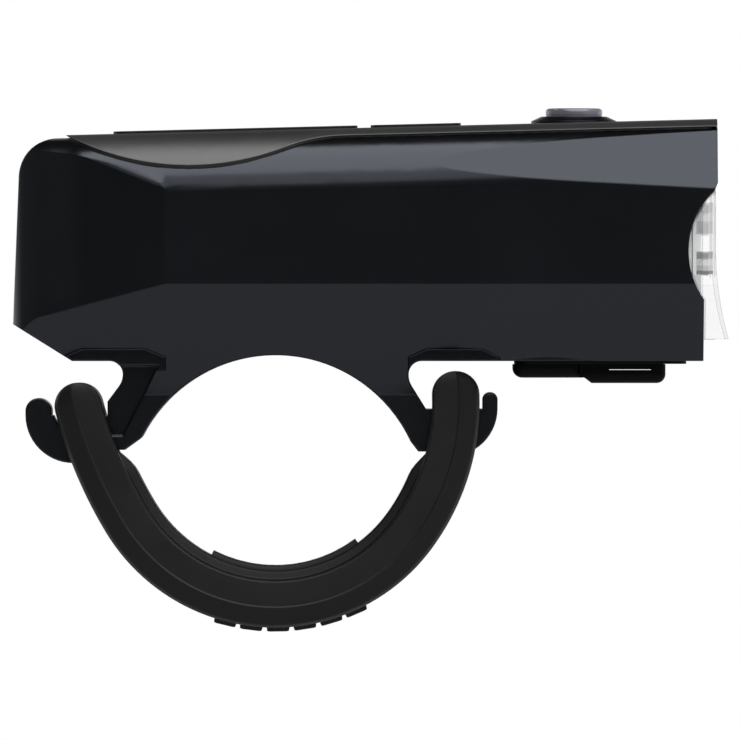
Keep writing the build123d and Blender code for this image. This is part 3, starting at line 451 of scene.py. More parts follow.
def mesh_piece(name, form, finish, smooth=True, sharp_angle=None):
    """New piece from a form's points and faces, turned outwards, sharp at edges past an angle."""
    points, faces = form
    mesh = bpy.data.meshes.new(name)
    mesh.from_pydata([tuple(point) for point in points], [], faces)
    merged = bmesh.new()
    merged.from_mesh(mesh)
    bmesh.ops.remove_doubles(merged, verts=merged.verts, dist=merge_distance)
    bmesh.ops.recalc_face_normals(merged, faces=merged.faces)
    merged.to_mesh(mesh)
    merged.free()
    mesh.materials.append(finish)
    for face in mesh.polygons:
        face.use_smooth = smooth
    if sharp_angle:
        mesh.set_sharp_from_angle(angle=radians(sharp_angle))
    piece = new_object(name, mesh)
    return piece


def joined(forms):
    """Points and faces of several forms in one."""
    all_points = []
    all_faces = []
    for points, faces in forms:
        start = len(all_points)
        all_points += points
        all_faces += [tuple(start + index for index in face) for face in faces]
    return all_points, all_faces


def tube(middles, radius, sides):
    """Points and faces of a closed round tube along some points, with capped ends."""
    points = []
    faces = []
    for index, middle in enumerate(middles):
        ahead = middles[min(index + 1, len(middles) - 1)] - middles[max(index - 1, 0)]
        across = ahead.cross(Vector((0, 0, 1))).normalized()
        up = across.cross(ahead).normalized()
        for step in range(sides):
            turn = 2 * pi * step / sides
            points.append(middle + radius * (cos(turn) * across + sin(turn) * up))
    for index in range(len(middles) - 1):
        for step in range(sides):
            low = index * sides
            high = low + sides
            next_step = (step + 1) % sides
            faces.append((low + step, low + next_step, high + next_step, high + step))
    faces.append(tuple(reversed(range(sides))))
    faces.append(tuple(range(len(points) - sides, len(points))))
    return points, faces


def ray_tree(name):
    """Ray-cast tree of a CAD node's rest mesh."""
    mesh = nodes[name].data
    points = [vertex.co.copy() for vertex in mesh.vertices]
    return BVHTree.FromPolygons(points, [tuple(face.vertices) for face in mesh.polygons])


lid_low, lid_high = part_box("top_cover")
body_low, body_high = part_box("housing")
body_sides = ray_tree("housing")
lid_sides = ray_tree("top_cover")


def seam_height(x):
    """Height of the lid's lower edge at the side, found on the lid itself."""
    z = lid_high.z - seam_start
    lowest = None
    while z > lid_low.z:
        hit = lid_sides.ray_cast(Vector((x, -1, z)), Vector((0, 1, 0)))[0]
        if hit is not None:
            lowest = z
        elif lowest is not None:
            break
        z -= seam_step
    return lowest


def seal_line(side):
    """Middle line of the seal on one side of the body."""
    line = []
    x = body_low.x + seal_rear_inset
    while x < body_high.x - seal_front_inset:
        height = seam_height(x)
        if height is not None:
            start = Vector((x, side, height - seal_drop))
            hit = body_sides.ray_cast(start, Vector((0, -side, 0)))[0]
            if hit is not None:
                line.append(hit - Vector((0, side * seal_sink, 0)))
        x += seal_step
    return line


seal_form = joined([tube(seal_line(side), seal_radius, seal_sides) for side in (-1, 1)])
rubber_finish = material("black_rubber", rubber(rubber_black, dust=2.0), IOR=1.45)
lid_seal = mesh_piece("lid_seal", seal_form, rubber_finish)
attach(lid_seal, "light")


# Top pads: two thin strips of black plastic with a satin skin, glued on the lid one behind the
# other, behind the button.
pad_black = (0.003, 0.003, 0.0032)

pad_skin = moulding(
    pad_black, grain=7000, grain_depth=0.006 * mm, rough=0.38, rough_spread=0.06,
    edge_radius=0.1 * mm, worn=1.6,
)
dress(material("black_pad", pad_skin, IOR=1.5), "rear_top_pad", "front_top_pad")


# Button and bezel: smoky translucent resin button in a flared ring of dark plastic, which holds
# it by its flange. The status lamps shine through the button when the light is on.
bezel_black = (0.003, 0.003, 0.0034)
smoke_dark = (0.14, 0.136, 0.165, 1)
smoke_pale = (0.21, 0.203, 0.245, 1)
smoke_rough = 0.16
smoke_rough_spread = 0.1
cap_sides = 96
cap_sharp_angle = 50

bezel_skin = moulding(
    bezel_black, grain=8000, grain_depth=0.003 * mm, rough=0.25, rough_spread=0.05,
    edge_radius=0.15 * mm, worn=2.0,
)
bezel_finish = material("dark_bezel", bezel_skin, IOR=1.36, Specular_Tint=body_tint)
dress(bezel_finish, "button_bezel", "switch_plunger")


def smoky(place):
    """Tinted resin with a faint flow in its colour and a fine polished skin."""
    flow = place.node("TexNoise", Vector=place, Scale=300.0, Detail=4.0)
    fine = place.node("TexNoise", Vector=place, Scale=5000.0, Detail=2.0)
    return {
        "Base_Color": flow.clamp(*mottle).mix(smoke_dark, smoke_pale),
        "Roughness": smoke_rough + (flow - 0.5) * smoke_rough_spread,
        "Normal": place.node("Bump", Height=fine, Strength=0.6, Distance=0.003 * mm),
    }


button_finish = material(
    "smoky_button", smoky, IOR=1.5, Transmission_Weight=0.2, Coat_Weight=0.4, Coat_Roughness=0.08,
)
cap_low, cap_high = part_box("button_cap")
cap_middle = (cap_low + cap_high) / 2
# Radius and height below the top of each corner of the button, in mm, from the middle outwards
cap_profile = [
    (0.0, 0.0), (3.0, 0.0), (3.2, -0.04), (3.35, -0.14), (3.42, -0.28), (3.44, -0.42),
    (3.44, -0.78), (3.37, -0.82), (3.37, -0.9), (3.45, -0.95), (3.45, -1.9),
    (4.2, -2.0), (4.2, -2.5), (0.0, -2.5),
]


def turned(profile, sides, middle_x, top_z):
    """Points and faces of a piece turned about an upright axis, from its profile below the top."""
    points = [Vector((middle_x, 0, top_z + profile[0][1] * mm))]
    for radius, height in profile[1:-1]:
        for step in range(sides):
            turn = 2 * pi * step / sides
            points.append(Vector((
                middle_x + radius * mm * cos(turn), radius * mm * sin(turn), top_z + height * mm
            )))
    points.append(Vector((middle_x, 0, top_z + profile[-1][1] * mm)))
    last = len(points) - 1
    faces = []
    for step in range(sides):
        after = (step + 1) % sides
        faces.append((0, 1 + step, 1 + after))
        for row in range(len(profile) - 3):
            low = 1 + row * sides
            faces.append((low + step, low + sides + step, low + sides + after, low + after))
        low = 1 + (len(profile) - 3) * sides
        faces.append((last, low + after, low + step))
    return points, faces


cap_form = turned(cap_profile, cap_sides, cap_middle.x, cap_high.z)
button_shell = mesh_piece(
    "button_shell", cap_form, button_finish, sharp_angle=cap_sharp_angle
)
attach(button_shell, "button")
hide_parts("button_cap")


# Lens: one clear polished moulding that wraps round into a window in each side, with moulded
# facets across its sides. Grey bands there and a thin upright strip are painted reflection and
# shade, and its edges get painted shade. A milky silicone gasket sits behind its edge.
lens_pale = (0.84, 0.85, 0.86, 1)
lens_dull = (0.78, 0.79, 0.8, 1)
# Grey of the painted shade along the lens's edges
lens_edge_painted_shade = (0.25, 0.255, 0.26, 1)
facet_painted_shade = (0.2, 0.205, 0.21, 1)
silicone_dull = (0.62, 0.63, 0.64, 1)
silicone_pale = (0.74, 0.75, 0.76, 1)
silicone_rough = 0.4
silicone_haze = 0.2
soft_mottle = (0.3, 0.7)
lens_rough = 0.02
scuff_span = (0.58, 0.8)
scuff_rough = 0.05
lens_edge_radius = 0.2 * mm
lens_edge_span = (0.01, 0.1)
clear_alpha = 0.05
grazing_alpha = 0.4
edge_alpha = 0.4
facet_full = 0.5
# Lower and upper edge of each band, in mm, and how much painted shade it lays on the lens
lens_painted_bands = (
    (35.1, 36.5, 0.42), (34.2, 35.2, 0.3), (32.6, 34.3, 0.4),
    (29.6, 30.6, 0.55), (28.9, 29.7, 0.3), (28.2, 29.0, 0.4), (27.75, 28.3, 0.8),
)
facet_rear = 50.8 * mm
facet_front = 52.85 * mm
facet_inner_y = 12 * mm
facet_fade = 0.1 * mm
facet_edge_fade = 0.12 * mm
# Thin upright strip of painted shade near the lens front
strip_rear = 52.85 * mm
strip_front = 53.13 * mm
strip_rise = 0.05 * mm
strip_fall = 0.03 * mm
strip_low_z = 27.3 * mm
strip_full_z = 27.7 * mm
strip_painted_shade = 0.3


def band(value, low, high, rise, fall):
    """Mask of the values between two limits, which fades just inside them."""
    return value.clamp(low, low + rise) * (1 - value.clamp(high - fall, high))


def at_sides(place):
    """Mask of the light's two sides, clear of its middle."""
    return abs(place.part(1)).clamp(facet_inner_y, facet_inner_y + facet_fade)


def clear_shell(place):
    """Clear plastic that is seen mostly at its edges, with a hardly visible moulding ripple.

    Its edges carry painted shade, and bands on its sides carry painted reflection and shade.
    """
    ripple = place.node("TexNoise", Vector=place, Scale=180.0, Detail=2.0)
    scuffs = place.node("TexNoise", Vector=place, Scale=2600.0, Detail=5.0, Roughness=0.7)
    grazing = place.node("LayerWeight", output=1, Blend=0.3)
    rounded = place.node("Bevel", {"samples": 8}, Radius=lens_edge_radius)
    # Painted shade: the bevelled edges of the clear lens turn grey and more opaque
    painted_edge_shade = edge_turn(place, rounded).clamp(*lens_edge_span)
    along, height = place.part(0), place.part(2)
    # Painted reflection and shade: grey bands on the sides and a thin upright strip
    painted_bands = 0.0
    for low, high, tone in lens_painted_bands:
        painted_bands = band(height, low * mm, high * mm, facet_edge_fade, facet_edge_fade) * tone + painted_bands
    painted_bands = painted_bands * band(along, facet_rear, facet_front, facet_fade, facet_fade)
    painted_bands = painted_bands * at_sides(place)
    painted_strip = band(along, strip_rear, strip_front, strip_rise, strip_fall)
    painted_strip = painted_strip * height.clamp(strip_low_z, strip_full_z) * strip_painted_shade
    clear = ripple.clamp(*soft_mottle).mix(lens_dull, lens_pale)
    shaded = (painted_bands + painted_strip).clamp(0, facet_full).mix(clear, facet_painted_shade)
    alpha = clear_alpha + grazing * grazing_alpha + painted_bands + painted_strip + painted_edge_shade * edge_alpha
    return {
        "Base_Color": painted_edge_shade.mix(shaded, lens_edge_painted_shade),
        "Roughness": lens_rough + scuffs.clamp(*scuff_span) * scuff_rough,
        "Alpha": alpha.clamp(0, 1),
        "Normal": place.node("Bump", Height=ripple, Strength=0.3, Distance=0.02 * mm),
    }


def pale_silicone(place):
    """Milky silicone with a soft haze."""
    haze = place.node("TexNoise", Vector=place, Scale=800.0, Detail=4.0)
    return {
        "Base_Color": haze.clamp(*soft_mottle).mix(silicone_dull, silicone_pale),
        "Roughness": silicone_rough + haze * silicone_haze,
        "Normal": place.node("Bump", Height=haze, Strength=0.4, Distance=0.01 * mm),
    }


dress(material("clear_lens", clear_shell, IOR=1.49), "lens")
dress(material("milky_gasket", pale_silicone), "lens_gasket")


# Reflector: plastic bowl with a vapour-deposited mirror coat, and the bare white frame round it,
# in one moulding. The frame glows faintly as painted light. A moulded groove runs down each side
# of the frame, drawn as a grey line of painted shade.
silver_bright = (0.86, 0.87, 0.88, 1)
silver_dull = (0.78, 0.785, 0.8, 1)
silver_span = (0.35, 0.7)
silver_rough = 0.08
haze_span = (0.4, 0.75)
haze_rough = 0.1
frame_white = (0.97, 0.97, 0.97, 1)
frame_rough = 0.12
# Strength of the frame's painted glow: painted light on a part that is no lamp
frame_painted_glow = 0.22
# Grey of the painted shade that stands for the groove down each side of the frame
groove_painted_shade = (0.25, 0.25, 0.25, 1)
groove_x = 50.35 * mm
groove_half = 0.05 * mm
groove_reach = 0.11 * mm
lamp_height = 31.65 * mm
bowl_rim = 8.7 * mm
bowl_edge = 9.1 * mm


def mirror_coat(place):
    """Mirror bright aluminium coat in the bowl, and white plastic on the frame round it.

    The frame glows as painted light, and its groove is a grey line of painted shade.
    """
    centred = place.node(
        "VectorMath", {"operation": "SUBTRACT"}, i0=place, i1=(0.0, 0.0, lamp_height)
    )
    spoke = place.node("VectorMath", {"operation": "MULTIPLY"}, i0=centred, i1=(0.0, 1.0, 1.0))
    from_axis = place.node("VectorMath", {"operation": "LENGTH"}, 1, i0=spoke)
    on_frame = from_axis.clamp(bowl_rim, bowl_edge)
    wave = place.node("TexNoise", Vector=place, Scale=130.0, Detail=3.0)
    haze = place.node("TexNoise", Vector=place, Scale=900.0, Detail=4.0)
    silver = haze.clamp(*silver_span).mix(silver_bright, silver_dull)
    # Painted shade: a thin grey line where the groove runs down each side of the frame
    groove_shade_mask = 1 - abs(place.part(0) - groove_x).clamp(groove_half, groove_reach)
    groove_shade_mask = groove_shade_mask * at_sides(place)
    return {
        "Base_Color": on_frame.mix(silver, groove_shade_mask.mix(frame_white, groove_painted_shade)),
        # Painted light: the frame glows everywhere except in the painted groove shade
        "Emission_Color": (on_frame * (1 - groove_shade_mask)).mix((0, 0, 0, 1), (1, 1, 1, 1)),
        "Metallic": 1 - on_frame,
        "Roughness": silver_rough + haze.clamp(*haze_span) * haze_rough + on_frame * frame_rough,
        "Normal": place.node("Bump", Height=wave, Strength=0.5, Distance=0.04 * mm),
    }


dress(material("mirror_reflector", mirror_coat, Emission_Strength=frame_painted_glow), "reflector")


# Lamp: phosphor emitter under a clear dome, on a white star board that two plated screws press
# against the milled aluminium heat sink.
phosphor_deep = (0.85, 0.62, 0.09, 1)
phosphor_pale = (0.93, 0.74, 0.18, 1)
dome_rough = 0.12
dome_rough_spread = 0.06
star_white = (0.72, 0.73, 0.72)
star_tracks = (0.62, 0.63, 0.62)
via_tin = (0.7, 0.66, 0.5, 1)
via_span = (0.1, 0.14)
via_spread = 1.7
via_metal = 0.8
via_lift = 0.3
via_polish = 0.1
track_span = (0.02, 0.05)
track_lift = 0.7
mask_rough = 0.32
weave_rough = 0.06
weave_lift = 0.1
sink_aluminium = (0.62, 0.63, 0.64)
plated_steel = (0.5, 0.51, 0.53)


def phosphor(place):
    """Yellow phosphor grains under a silicone dome."""
    grains = place.node("TexNoise", Vector=place, Scale=4000.0, Detail=3.0)
    return {
        "Base_Color": grains.clamp(*mottle).mix(phosphor_deep, phosphor_pale),
        "Roughness": dome_rough + grains.clamp(*soft_mottle) * dome_rough_spread,
        "Normal": place.node("Bump", Height=grains, Strength=0.3, Distance=0.006 * mm),
    }


def printed_board(mask_colour, track_colour, scale):
    """Circuit board: solder mask over raised tracks and round vias, with a faint glass weave."""

    def build(place):
        settings = {"feature": "DISTANCE_TO_EDGE"}
        cells = place.node("TexVoronoi", settings, Vector=place, Scale=scale, Randomness=0.35)
        tracks = 1 - cells.clamp(*track_span)
        weave = place.node("TexWave", {"wave_type": "BANDS"}, 1, Vector=place, Scale=1500.0)
        dots = place.node("TexVoronoi", Vector=place, Scale=scale * via_spread, Randomness=1.0)
        vias = 1 - dots.clamp(*via_span)
        masked = tracks.mix(shade(mask_colour, 1), shade(track_colour, 1))
        relief = tracks * track_lift + weave * weave_lift + vias * via_lift
        return {
            "Base_Color": vias.mix(masked, via_tin),
            "Roughness": mask_rough + weave * weave_rough - vias * via_polish,
            "Metallic": vias * via_metal,
            "Normal": place.node("Bump", Height=relief, Distance=0.02 * mm),
        }

    return build


emitter_finish = material("phosphor_emitter", phosphor, Coat_Weight=0.8, Coat_Roughness=0.05)
star_finish = material("white_star_board", printed_board(star_white, star_tracks, scale=420))
sink_marks = worked_metal(
    sink_aluminium, dark_share=0.8, rough=0.32, mark_scale=2500, mark_depth=0.01 * mm
)
steel_marks = worked_metal(
    plated_steel, dark_share=0.7, rough=0.25, mark_scale=4000, mark_depth=0.005 * mm
)
steel_finish = material("plated_screws", steel_marks, Metallic=1.0)
dress(emitter_finish, "led_emitter")
dress(star_finish, "led_board")
dress(material("milled_heat_sink", sink_marks, Metallic=1.0), "heat_sink")
dress(steel_finish, "lamp_screws")


# Strap: one rubber loop. Two strands run side by side from a crossbar in the rear hook to one in
# the front hook, each with a ridged outer side, and a web joins them under the handlebar.
strap_black = (0.0034, 0.0034, 0.0036)
rear_bar = Vector((-23.8, 11.9)) * mm
front_bar = Vector((21.85, 13.3)) * mm
bar_half = 9 * mm
bar_share = 0.99
bar_steps = 6
bar_sides = 40
strap_drop = 24.65 * mm
start_tilt = radians(14.6)
# End of each arc of the route: its share of the way from bar to bar, and of the drop
knee_shares = ((0.126, 0.563), (0.5215, 1.0), (0.888, 0.675), (1.0, 0.0))
strand_half = 2.85 * mm
strand_middle = 9.9 * mm
strap_step = 0.9 * mm
cap_steps = 9
cap_turn = radians(88)
cap_pull = 0.1
cap_power = 4
# Outlines of the sections: how far out and how far across each corner is, in mm, and its radius
strand_corners = [
    ((-2.85, 7.4), 1.3), ((-2.85, 12.26), 0.32), ((0.25, 12.27), 0.1), ((0.45, 12.4), 0.07),
    ((0.68, 12.2), 0.1), ((2.5, 11.1), 0.8), ((2.85, 9.9), 0.8), ((2.85, 7.4), 1.3),
]
web_corners = [
    ((0.0, -8.0), 0.3), ((0.0, 8.0), 0.3), ((-2.6, 8.0), 0.3), ((-3.0, 7.3), 0.3),
    ((-4.0, 7.1), 0.35), ((-4.0, -7.1), 0.35), ((-3.0, -7.3), 0.3), ((-2.6, -8.0), 0.3),
]
pad_corners = [
    ((-3.4, -6.8), 0.2), ((-3.4, 6.8), 0.2), ((-4.6, 6.6), 0.3), ((-4.6, -6.6), 0.3),
]
web_top = 5.5 * mm
web_end_share = 0.72
web_end_rows = 4
pad_rear_x = -7.75 * mm
pad_front_x = 9.95 * mm
pad_lift = 4.4 * mm
strap_sharp_angle = 40


def rounded_outline(corners, steps=4):
    """Closed outline in metres from corners in millimetres, each rounded to its radius."""
    outline = []
    count = len(corners)
    for index, (corner, radius) in enumerate(corners):
        here = Vector(corner)
        before = (Vector(corners[index - 1][0]) - here).normalized()
        after = (Vector(corners[(index + 1) % count][0]) - here).normalized()
        half_turn = before.angle(after) / 2
        middle = here + (before + after).normalized() * (radius / sin(half_turn))
        first = here + before * (radius / tan(half_turn)) - middle
        last = here + after * (radius / tan(half_turn)) - middle
        for step in range(steps + 1):
            share = step / steps
            spoke = (first * (1 - share) + last * share).normalized() * radius
            outline.append((middle + spoke) * mm)
    return outline


def arc_run(start, heading, end):
    """Points and headings of the arc that leaves start along a heading and ends at end."""
    chord = end - start
    swing = 2 * atan2(heading.x * chord.y - heading.y * chord.x, heading.dot(chord))
    side = Vector((-heading.y, heading.x))
    radius = chord.length_squared / (2 * side.dot(chord))
    middle = start + side * radius
    steps = max(2, round(abs(radius * swing) / strap_step))
    run = []
    for step in range(1, steps + 1):
        turn = Matrix.Rotation(swing * step / steps, 2)
        run.append((middle + turn @ (start - middle), turn @ heading))
    return run


def strap_route():
    """Strap's middle line from bar to bar, as points and headings in the side view."""
    heading = Vector((sin(start_tilt), -cos(start_tilt)))
    route = [(rear_bar.copy(), heading)]
    for along, down in knee_shares:
        bar = rear_bar.lerp(front_bar, along)
        end = Vector((bar.x, bar.y - down * strap_drop))
        route += arc_run(route[-1][0], route[-1][1], end)
    return route


def ring(outline, station, heading, thick=1, wide=1, middle=0):
    """Points of a cross-section at one station, scaled across its thickness and its width."""
    outward = Vector((heading.y, -heading.x))
    points = []
    for depth, width in outline:
        spot = station + outward * depth * thick
        points.append(Vector((spot.x, middle + (width - middle) * wide, spot.y)))
    return points


def shell(rings):
    """Points and faces of a closed shell through rings of equal length."""
    size = len(rings[0])
    points = [point for row in rings for point in row]
    faces = [tuple(range(size)), tuple(range(len(points) - size, len(points)))]
    for row in range(len(rings) - 1):
        for step in range(size):
            low = row * size
            after = (step + 1) % size
            faces.append((low + step, low + after, low + size + after, low + size + step))
    return points, faces


def strand_rings(route, outline):
    """Rings of one strand, with a round end over each crossbar."""
    rings = []
    ends = []
    for step in range(1, cap_steps + 1):
        angle = cap_turn * step / cap_steps
        ends.append((sin(angle), cos(angle), 1 - cap_pull * sin(angle) ** cap_power))
    first, first_heading = route[0]
    last, last_heading = route[-1]
    for out, thick, wide in reversed(ends):
        station = first - first_heading * strand_half * out
        rings.append(ring(outline, station, first_heading, thick, wide, strand_middle))
    for station, heading in route:
        rings.append(ring(outline, station, heading, middle=strand_middle))
    for out, thick, wide in ends:
        station = last + last_heading * strand_half * out
        rings.append(ring(outline, station, last_heading, thick, wide, strand_middle))
    return rings


def crossbar(bar):
    """Round bar across the two strands."""
    near, far = [Vector((bar.x, side * bar_half, bar.y)) for side in (-1, 1)]
    middles = [near.lerp(far, step / bar_steps) for step in range(bar_steps + 1)]
    return tube(middles, strand_half * bar_share, bar_sides)


route = strap_route()
belly = [(spot, heading) for spot, heading in route if spot.y < web_top]
pad_run = [
    (spot, heading) for spot, heading in belly
    if pad_rear_x < spot.x - heading.y * pad_lift < pad_front_x
]
strand_rows = strand_rings(route, rounded_outline(strand_corners))
far_rows = [[Vector((point.x, -point.y, point.z)) for point in row] for row in strand_rows]
web_outline = rounded_outline(web_corners)
web_rows = []
for index, (spot, heading) in enumerate(belly):
    from_end = min(index, len(belly) - 1 - index) / web_end_rows
    thick = web_end_share + (1 - web_end_share) * sin(pi / 2 * min(1, from_end))
    web_rows.append(ring(web_outline, spot, heading, thick))
pad_outline = rounded_outline(pad_corners, steps=2)
pad_rows = [ring(pad_outline, spot, heading) for spot, heading in pad_run]
strap_form = joined(
    [shell(rows) for rows in (strand_rows, far_rows, web_rows, pad_rows)]
    + [crossbar(bar) for bar in (rear_bar, front_bar)]
)
strap_finish = material("strap_rubber", rubber(strap_black, dust=2.3), IOR=1.34)
strap = mesh_piece(
    "strap_loop", strap_form, strap_finish, sharp_angle=strap_sharp_angle
)
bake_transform(strap)
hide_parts("strap")


# Strap ribs: rounded cross ribs of the same rubber, moulded on the outside of the web for the
# thumb and on the inside of the grip pad for the handlebar.
thumb_rear_x = -6.0 * mm
thumb_front_x = 9.3 * mm
thumb_sizes = {
    "Rib Count": 6, "Rib Length": 2.72 * mm, "Rib Width": 14.2 * mm, "Rib Height": 3.0 * mm,
    "Rib Lift": -1.85 * mm,
}
grip_sizes = {
    "Rib Count": 11, "Rib Length": 0.7 * mm, "Rib Width": 11.6 * mm, "Rib Height": 0.8 * mm,
    "Rib Lift": 4.22 * mm,
}
rib_rows = {"Vertices X": 3, "Vertices Y": 9, "Vertices Z": 3}
rib_rounding = {"Level": 2, "Edge Crease": 0.72}


def rib_tree():
    """Geometry Nodes: rounded ribs at even steps along a line, each square to it."""
    tree = bpy.data.node_groups.new("strap_ribs", "GeometryNodeTree")
    add = tree.interface.new_socket
    add(name="Geometry", in_out="INPUT", socket_type="NodeSocketGeometry")
    for name, value in thumb_sizes.items():
        kind = "NodeSocketInt" if name == "Rib Count" else "NodeSocketFloat"
        add(name=name, in_out="INPUT", socket_type=kind).default_value = value
    add(name="Rib Finish", in_out="INPUT", socket_type="NodeSocketMaterial")
    add(name="Geometry", in_out="OUTPUT", socket_type="NodeSocketGeometry")
    made = {}
    for key, kind in {
        "in": "NodeGroupInput", "curve": "GeometryNodeMeshToCurve",
        "spots": "GeometryNodeCurveToPoints", "turn": "FunctionNodeAlignRotationToVector",
        "size": "ShaderNodeCombineXYZ", "block": "GeometryNodeMeshCube",
        "round": "GeometryNodeSubdivisionSurface", "lift": "ShaderNodeCombineXYZ",
        "move": "GeometryNodeTransform", "place": "GeometryNodeInstanceOnPoints",
        "real": "GeometryNodeRealizeInstances", "paint": "GeometryNodeSetMaterial",
        "out": "NodeGroupOutput",
    }.items():
        made[key] = tree.nodes.new(kind)
    made["turn"].axis = "X"
    made["turn"].pivot_axis = "Y"
    for key, values in (("round", rib_rounding), ("block", rib_rows)):
        for name, value in values.items():
            made[key].inputs[name].default_value = value
    for source, output, target, value in (
        ("in", "Geometry", "curve", "Mesh"), ("curve", "Curve", "spots", "Curve"),
        ("in", "Rib Count", "spots", "Count"), ("spots", "Tangent", "turn", "Vector"),
        ("in", "Rib Length", "size", "X"), ("in", "Rib Width", "size", "Y"),
        ("in", "Rib Height", "size", "Z"), ("size", "Vector", "block", "Size"),
        ("block", "Mesh", "round", "Mesh"), ("in", "Rib Lift", "lift", "Z"),
        ("round", "Mesh", "move", "Geometry"), ("lift", "Vector", "move", "Translation"),
        ("spots", "Points", "place", "Points"), ("move", "Geometry", "place", "Instance"),
        ("turn", "Rotation", "place", "Rotation"), ("place", "Instances", "real", "Geometry"),
        ("real", "Geometry", "paint", "Geometry"), ("in", "Rib Finish", "paint", "Material"),
        ("paint", "Geometry", "out", "Geometry"),
    ):
        tree.links.new(made[source].outputs[output], made[target].inputs[value])
    return tree


def grown(tree, name, line, values):
    """Smooth mesh piece that a Geometry Nodes tree makes from a line, with the modifier gone."""
    mesh = bpy.data.meshes.new(name + "_line")
    mesh.from_pydata(line, [(step, step + 1) for step in range(len(line) - 1)], [])
    piece = new_object(name, mesh)
    modifier = piece.modifiers.new("grow", "NODES")
    modifier.node_group = tree
    for item in tree.interface.items_tree:
        if item.item_type == "SOCKET" and item.in_out == "INPUT" and item.name in values:
            modifier[item.identifier] = values[item.name]
    graph = bpy.context.evaluated_depsgraph_get()
    result = bpy.data.meshes.new_from_object(piece.evaluated_get(graph))
    piece.modifiers.clear()
    piece.data = result
    result.name = name
    for face in result.polygons:
        face.use_smooth = True
    return piece


ribs = rib_tree()
thumb_line = [(spot.x, 0, spot.y) for spot, _ in belly if thumb_rear_x < spot.x < thumb_front_x]
grip_line = [(spot.x, 0, spot.y) for spot, _ in pad_run[1:-1]]
for name, line, sizes in (
    ("strap_thumb_ribs", thumb_line, thumb_sizes), ("strap_grip_ribs", grip_line, grip_sizes),
):
    rib_piece = grown(ribs, name, line, {**sizes, "Rib Finish": strap_finish})
    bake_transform(rib_piece)


# Charging port: thin plastic plate under the body, and a rubber cover. The cover's slab is
# anchored in the body, and its flap bends open on a thin fold, with a slit for a fingernail.
# The cover's rubber is darker than the other black rubbers: its own black plus painted shade for
# its place under the body
cover_black_with_shade = (0.0008, 0.0008, 0.0009)
plate_black = (0.001, 0.001, 0.0012)
fold_reach = 0.5 * mm
fold_margin = 0.12 * mm
fold_raise = 0.02 * mm
fold_steps = 4
fold_sharp_angle = 40
lip_inset = 0.25 * mm
lip_gap = 0.02 * mm
slit_rear_x = 39.9 * mm
slit_front_x = 45.7 * mm
slit_low_z = 16.34 * mm
slit_high_z = 16.8 * mm

plate_skin = moulding(
    plate_black, grain=8000, grain_depth=0.004 * mm, rough=0.4, rough_spread=0.06,
    edge_radius=0.1 * mm, worn=1.6,
)
dress(material("port_plate_plastic", plate_skin, IOR=1.25), "port_plate")
cover_finish = material("cover_rubber", rubber(cover_black_with_shade, dust=1.6), IOR=1.2)
dress(cover_finish, "port_cover_base", "port_cover_flap")


def upright(x, half_y, low_z, high_z):
    """Corners of an upright rectangle across the light."""
    return [
        Vector((x, y, z))
        for y, z in ((-half_y, low_z), (half_y, low_z), (half_y, high_z), (-half_y, high_z))
    ]


# The fold fills the hinge's gap between slab and flap
slab_low, slab_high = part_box("port_cover_base")
flap_low, flap_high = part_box("port_cover_flap")
plate_low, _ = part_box("port_plate")
fold_x = (slab_high.x + flap_low.x) / 2
fold_bottom = slab_low.z + fold_raise
fold_top = flap_high.z - fold_margin
fold_half = flap_high.y - fold_margin
fold_form = shell([
    upright(fold_x + step / fold_steps * fold_reach, fold_half, fold_bottom, fold_top)
    for step in range(-fold_steps, fold_steps + 1)
])
cover_fold = mesh_piece(
    "cover_fold", fold_form, cover_finish, sharp_angle=fold_sharp_angle
)
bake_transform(cover_fold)

# Lips close the crack between cover and plate, and a web inside the flap narrows its slit
for name, body, rear_x, front_x, half_y, low_z, high_z in (
    ("cover_lip_fixed", "light", slab_low.x + lip_inset, slab_high.x,
     slab_high.y - lip_inset, slab_high.z - lip_inset, plate_low.z - lip_gap),
    ("cover_lip_moving", "port_flap", flap_low.x, flap_high.x - lip_inset,
     fold_half - lip_inset, flap_high.z - lip_inset, plate_low.z - lip_gap),
    ("flap_slit_web", "port_flap", slit_rear_x, slit_front_x,
     fold_half - lip_inset, slit_low_z, slit_high_z),
):
    form = shell([upright(x, half_y, low_z, high_z) for x in (rear_x, front_x)])
    piece = mesh_piece(name, form, cover_finish, smooth=False)
    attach(piece, body)


# Boards: green main board with its switch, chip, coil and status lamps, and the small charging
# board with the plated port on it. Screws hold both on posts.
board_green = (0.012, 0.1, 0.04)
board_tracks = (0.03, 0.19, 0.085)
resin_black = (0.012, 0.012, 0.013)

board_finish = material("green_board", printed_board(board_green, board_tracks, scale=330))
chip_skin = moulding(
    resin_black, grain=6000, grain_depth=0.005 * mm, rough=0.55, rough_spread=0.1,
    edge_radius=0.08 * mm, worn=1.7,
)
status_finish = material("status_lamp_resin", pale_silicone, IOR=1.5, Transmission_Weight=0.4)
dress(board_finish, "main_board", "usb_board")
dress(material("chip_resin", chip_skin), "control_chip", "driver_coil", "tact_switch")
dress(status_finish, "status_leds")
dress(steel_finish, "board_screws", "usb_screws", "usb_socket")


# Battery: lithium cell in a blue shrink sleeve with bare steel ends, in a pale moulded cradle
# between its two plated contacts.
sleeve_dark = (0.02, 0.075, 0.24, 1)
sleeve_pale = (0.035, 0.11, 0.32, 1)
bare_steel = (0.55, 0.56, 0.58, 1)
cradle_grey = (0.36, 0.365, 0.37)
contact_plating = (0.66, 0.6, 0.44)
sleeve_rough = 0.26
sleeve_rough_spread = 0.12
sleeve_rim = (0.84 * mm, 0.9 * mm)
sleeve_wrinkles = (1.2 * mm, 3.6 * mm)
sleeve_ripple = 0.15
cell_low, cell_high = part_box("battery_cell")


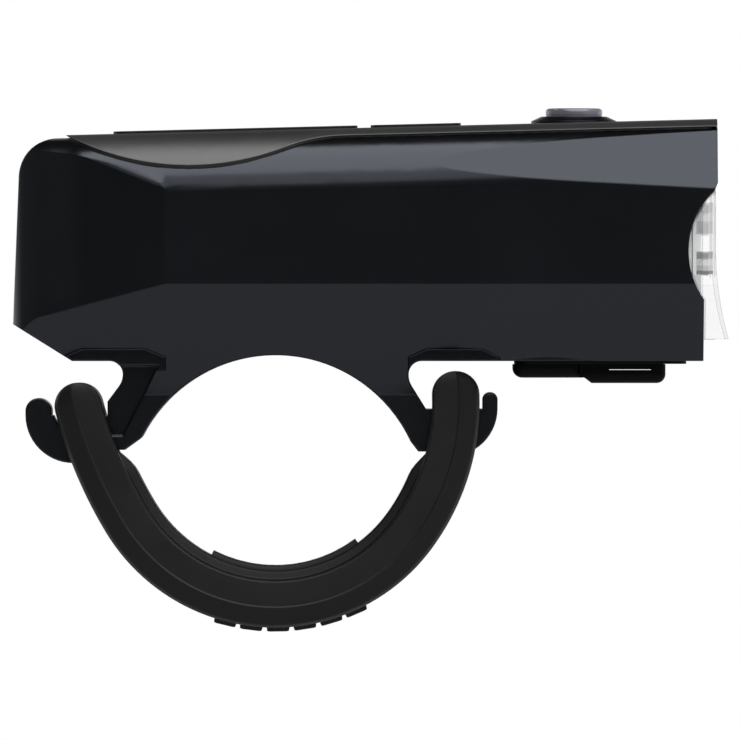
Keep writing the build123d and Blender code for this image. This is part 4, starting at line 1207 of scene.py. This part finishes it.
def cell_sleeve(place):
    """Blue shrink sleeve, wrinkled where it is shrunk over the ends, and bare steel inside them."""
    along = place.part(0)
    from_end = place.math("MINIMUM", along - cell_low.x, cell_high.x - along)
    bare = 1 - from_end.clamp(*sleeve_rim)
    wrinkled = 1 - from_end.clamp(*sleeve_wrinkles)
    stretched = place.node("Mapping", Vector=place, Scale=(300.0, 2600.0, 2600.0))
    folds = place.node("TexNoise", Vector=stretched, Scale=1.0, Detail=3.0)
    tone = place.node("TexNoise", Vector=place, Scale=90.0, Detail=4.0)
    sleeve = tone.clamp(*soft_mottle).mix(sleeve_dark, sleeve_pale)
    relief = folds * wrinkled + folds * sleeve_ripple
    return {
        "Base_Color": bare.mix(sleeve, bare_steel),
        "Metallic": bare,
        "Roughness": sleeve_rough + tone * sleeve_rough_spread,
        "Normal": place.node("Bump", Height=relief, Distance=0.06 * mm),
    }


cradle_skin = moulding(
    cradle_grey, grain=5000, grain_depth=0.01 * mm, rough=0.5, rough_spread=0.08,
    edge_radius=0.2 * mm, worn=1.1,
)
contact_marks = worked_metal(
    contact_plating, dark_share=0.75, rough=0.22, mark_scale=3000, mark_depth=0.004 * mm
)
contact_finish = material("plated_contacts", contact_marks, Metallic=1.0)
dress(material("cell_sleeve", cell_sleeve), "battery_cell")
dress(material("pale_cradle", cradle_skin), "battery_cradle")
dress(contact_finish, "battery_contact_rear", "battery_contact_front")


# Leads: thin copper wires in red silicone sleeves, soldered at both ends. They run from the cell,
# the lamp and the charging board to the main board.
lead_bright = (0.42, 0.02, 0.018, 1)
lead_dull = (0.3, 0.016, 0.015, 1)
lead_rough = 0.4
smudge_span = (0.35, 0.7)
smudge_rough = 0.15


def lead_sleeve(place):
    """Red silicone sleeve with a satin skin and slight smudges."""
    smudge = place.node("TexNoise", Vector=place, Scale=700.0, Detail=4.0)
    skin = place.node("TexNoise", Vector=place, Scale=7000.0, Detail=2.0)
    return {
        "Base_Color": smudge.clamp(*smudge_span).mix(lead_bright, lead_dull),
        "Roughness": lead_rough + smudge * smudge_rough,
        "Normal": place.node("Bump", Height=skin, Distance=0.006 * mm),
    }


dress(material("red_lead", lead_sleeve), "battery_leads", "led_leads", "usb_leads")
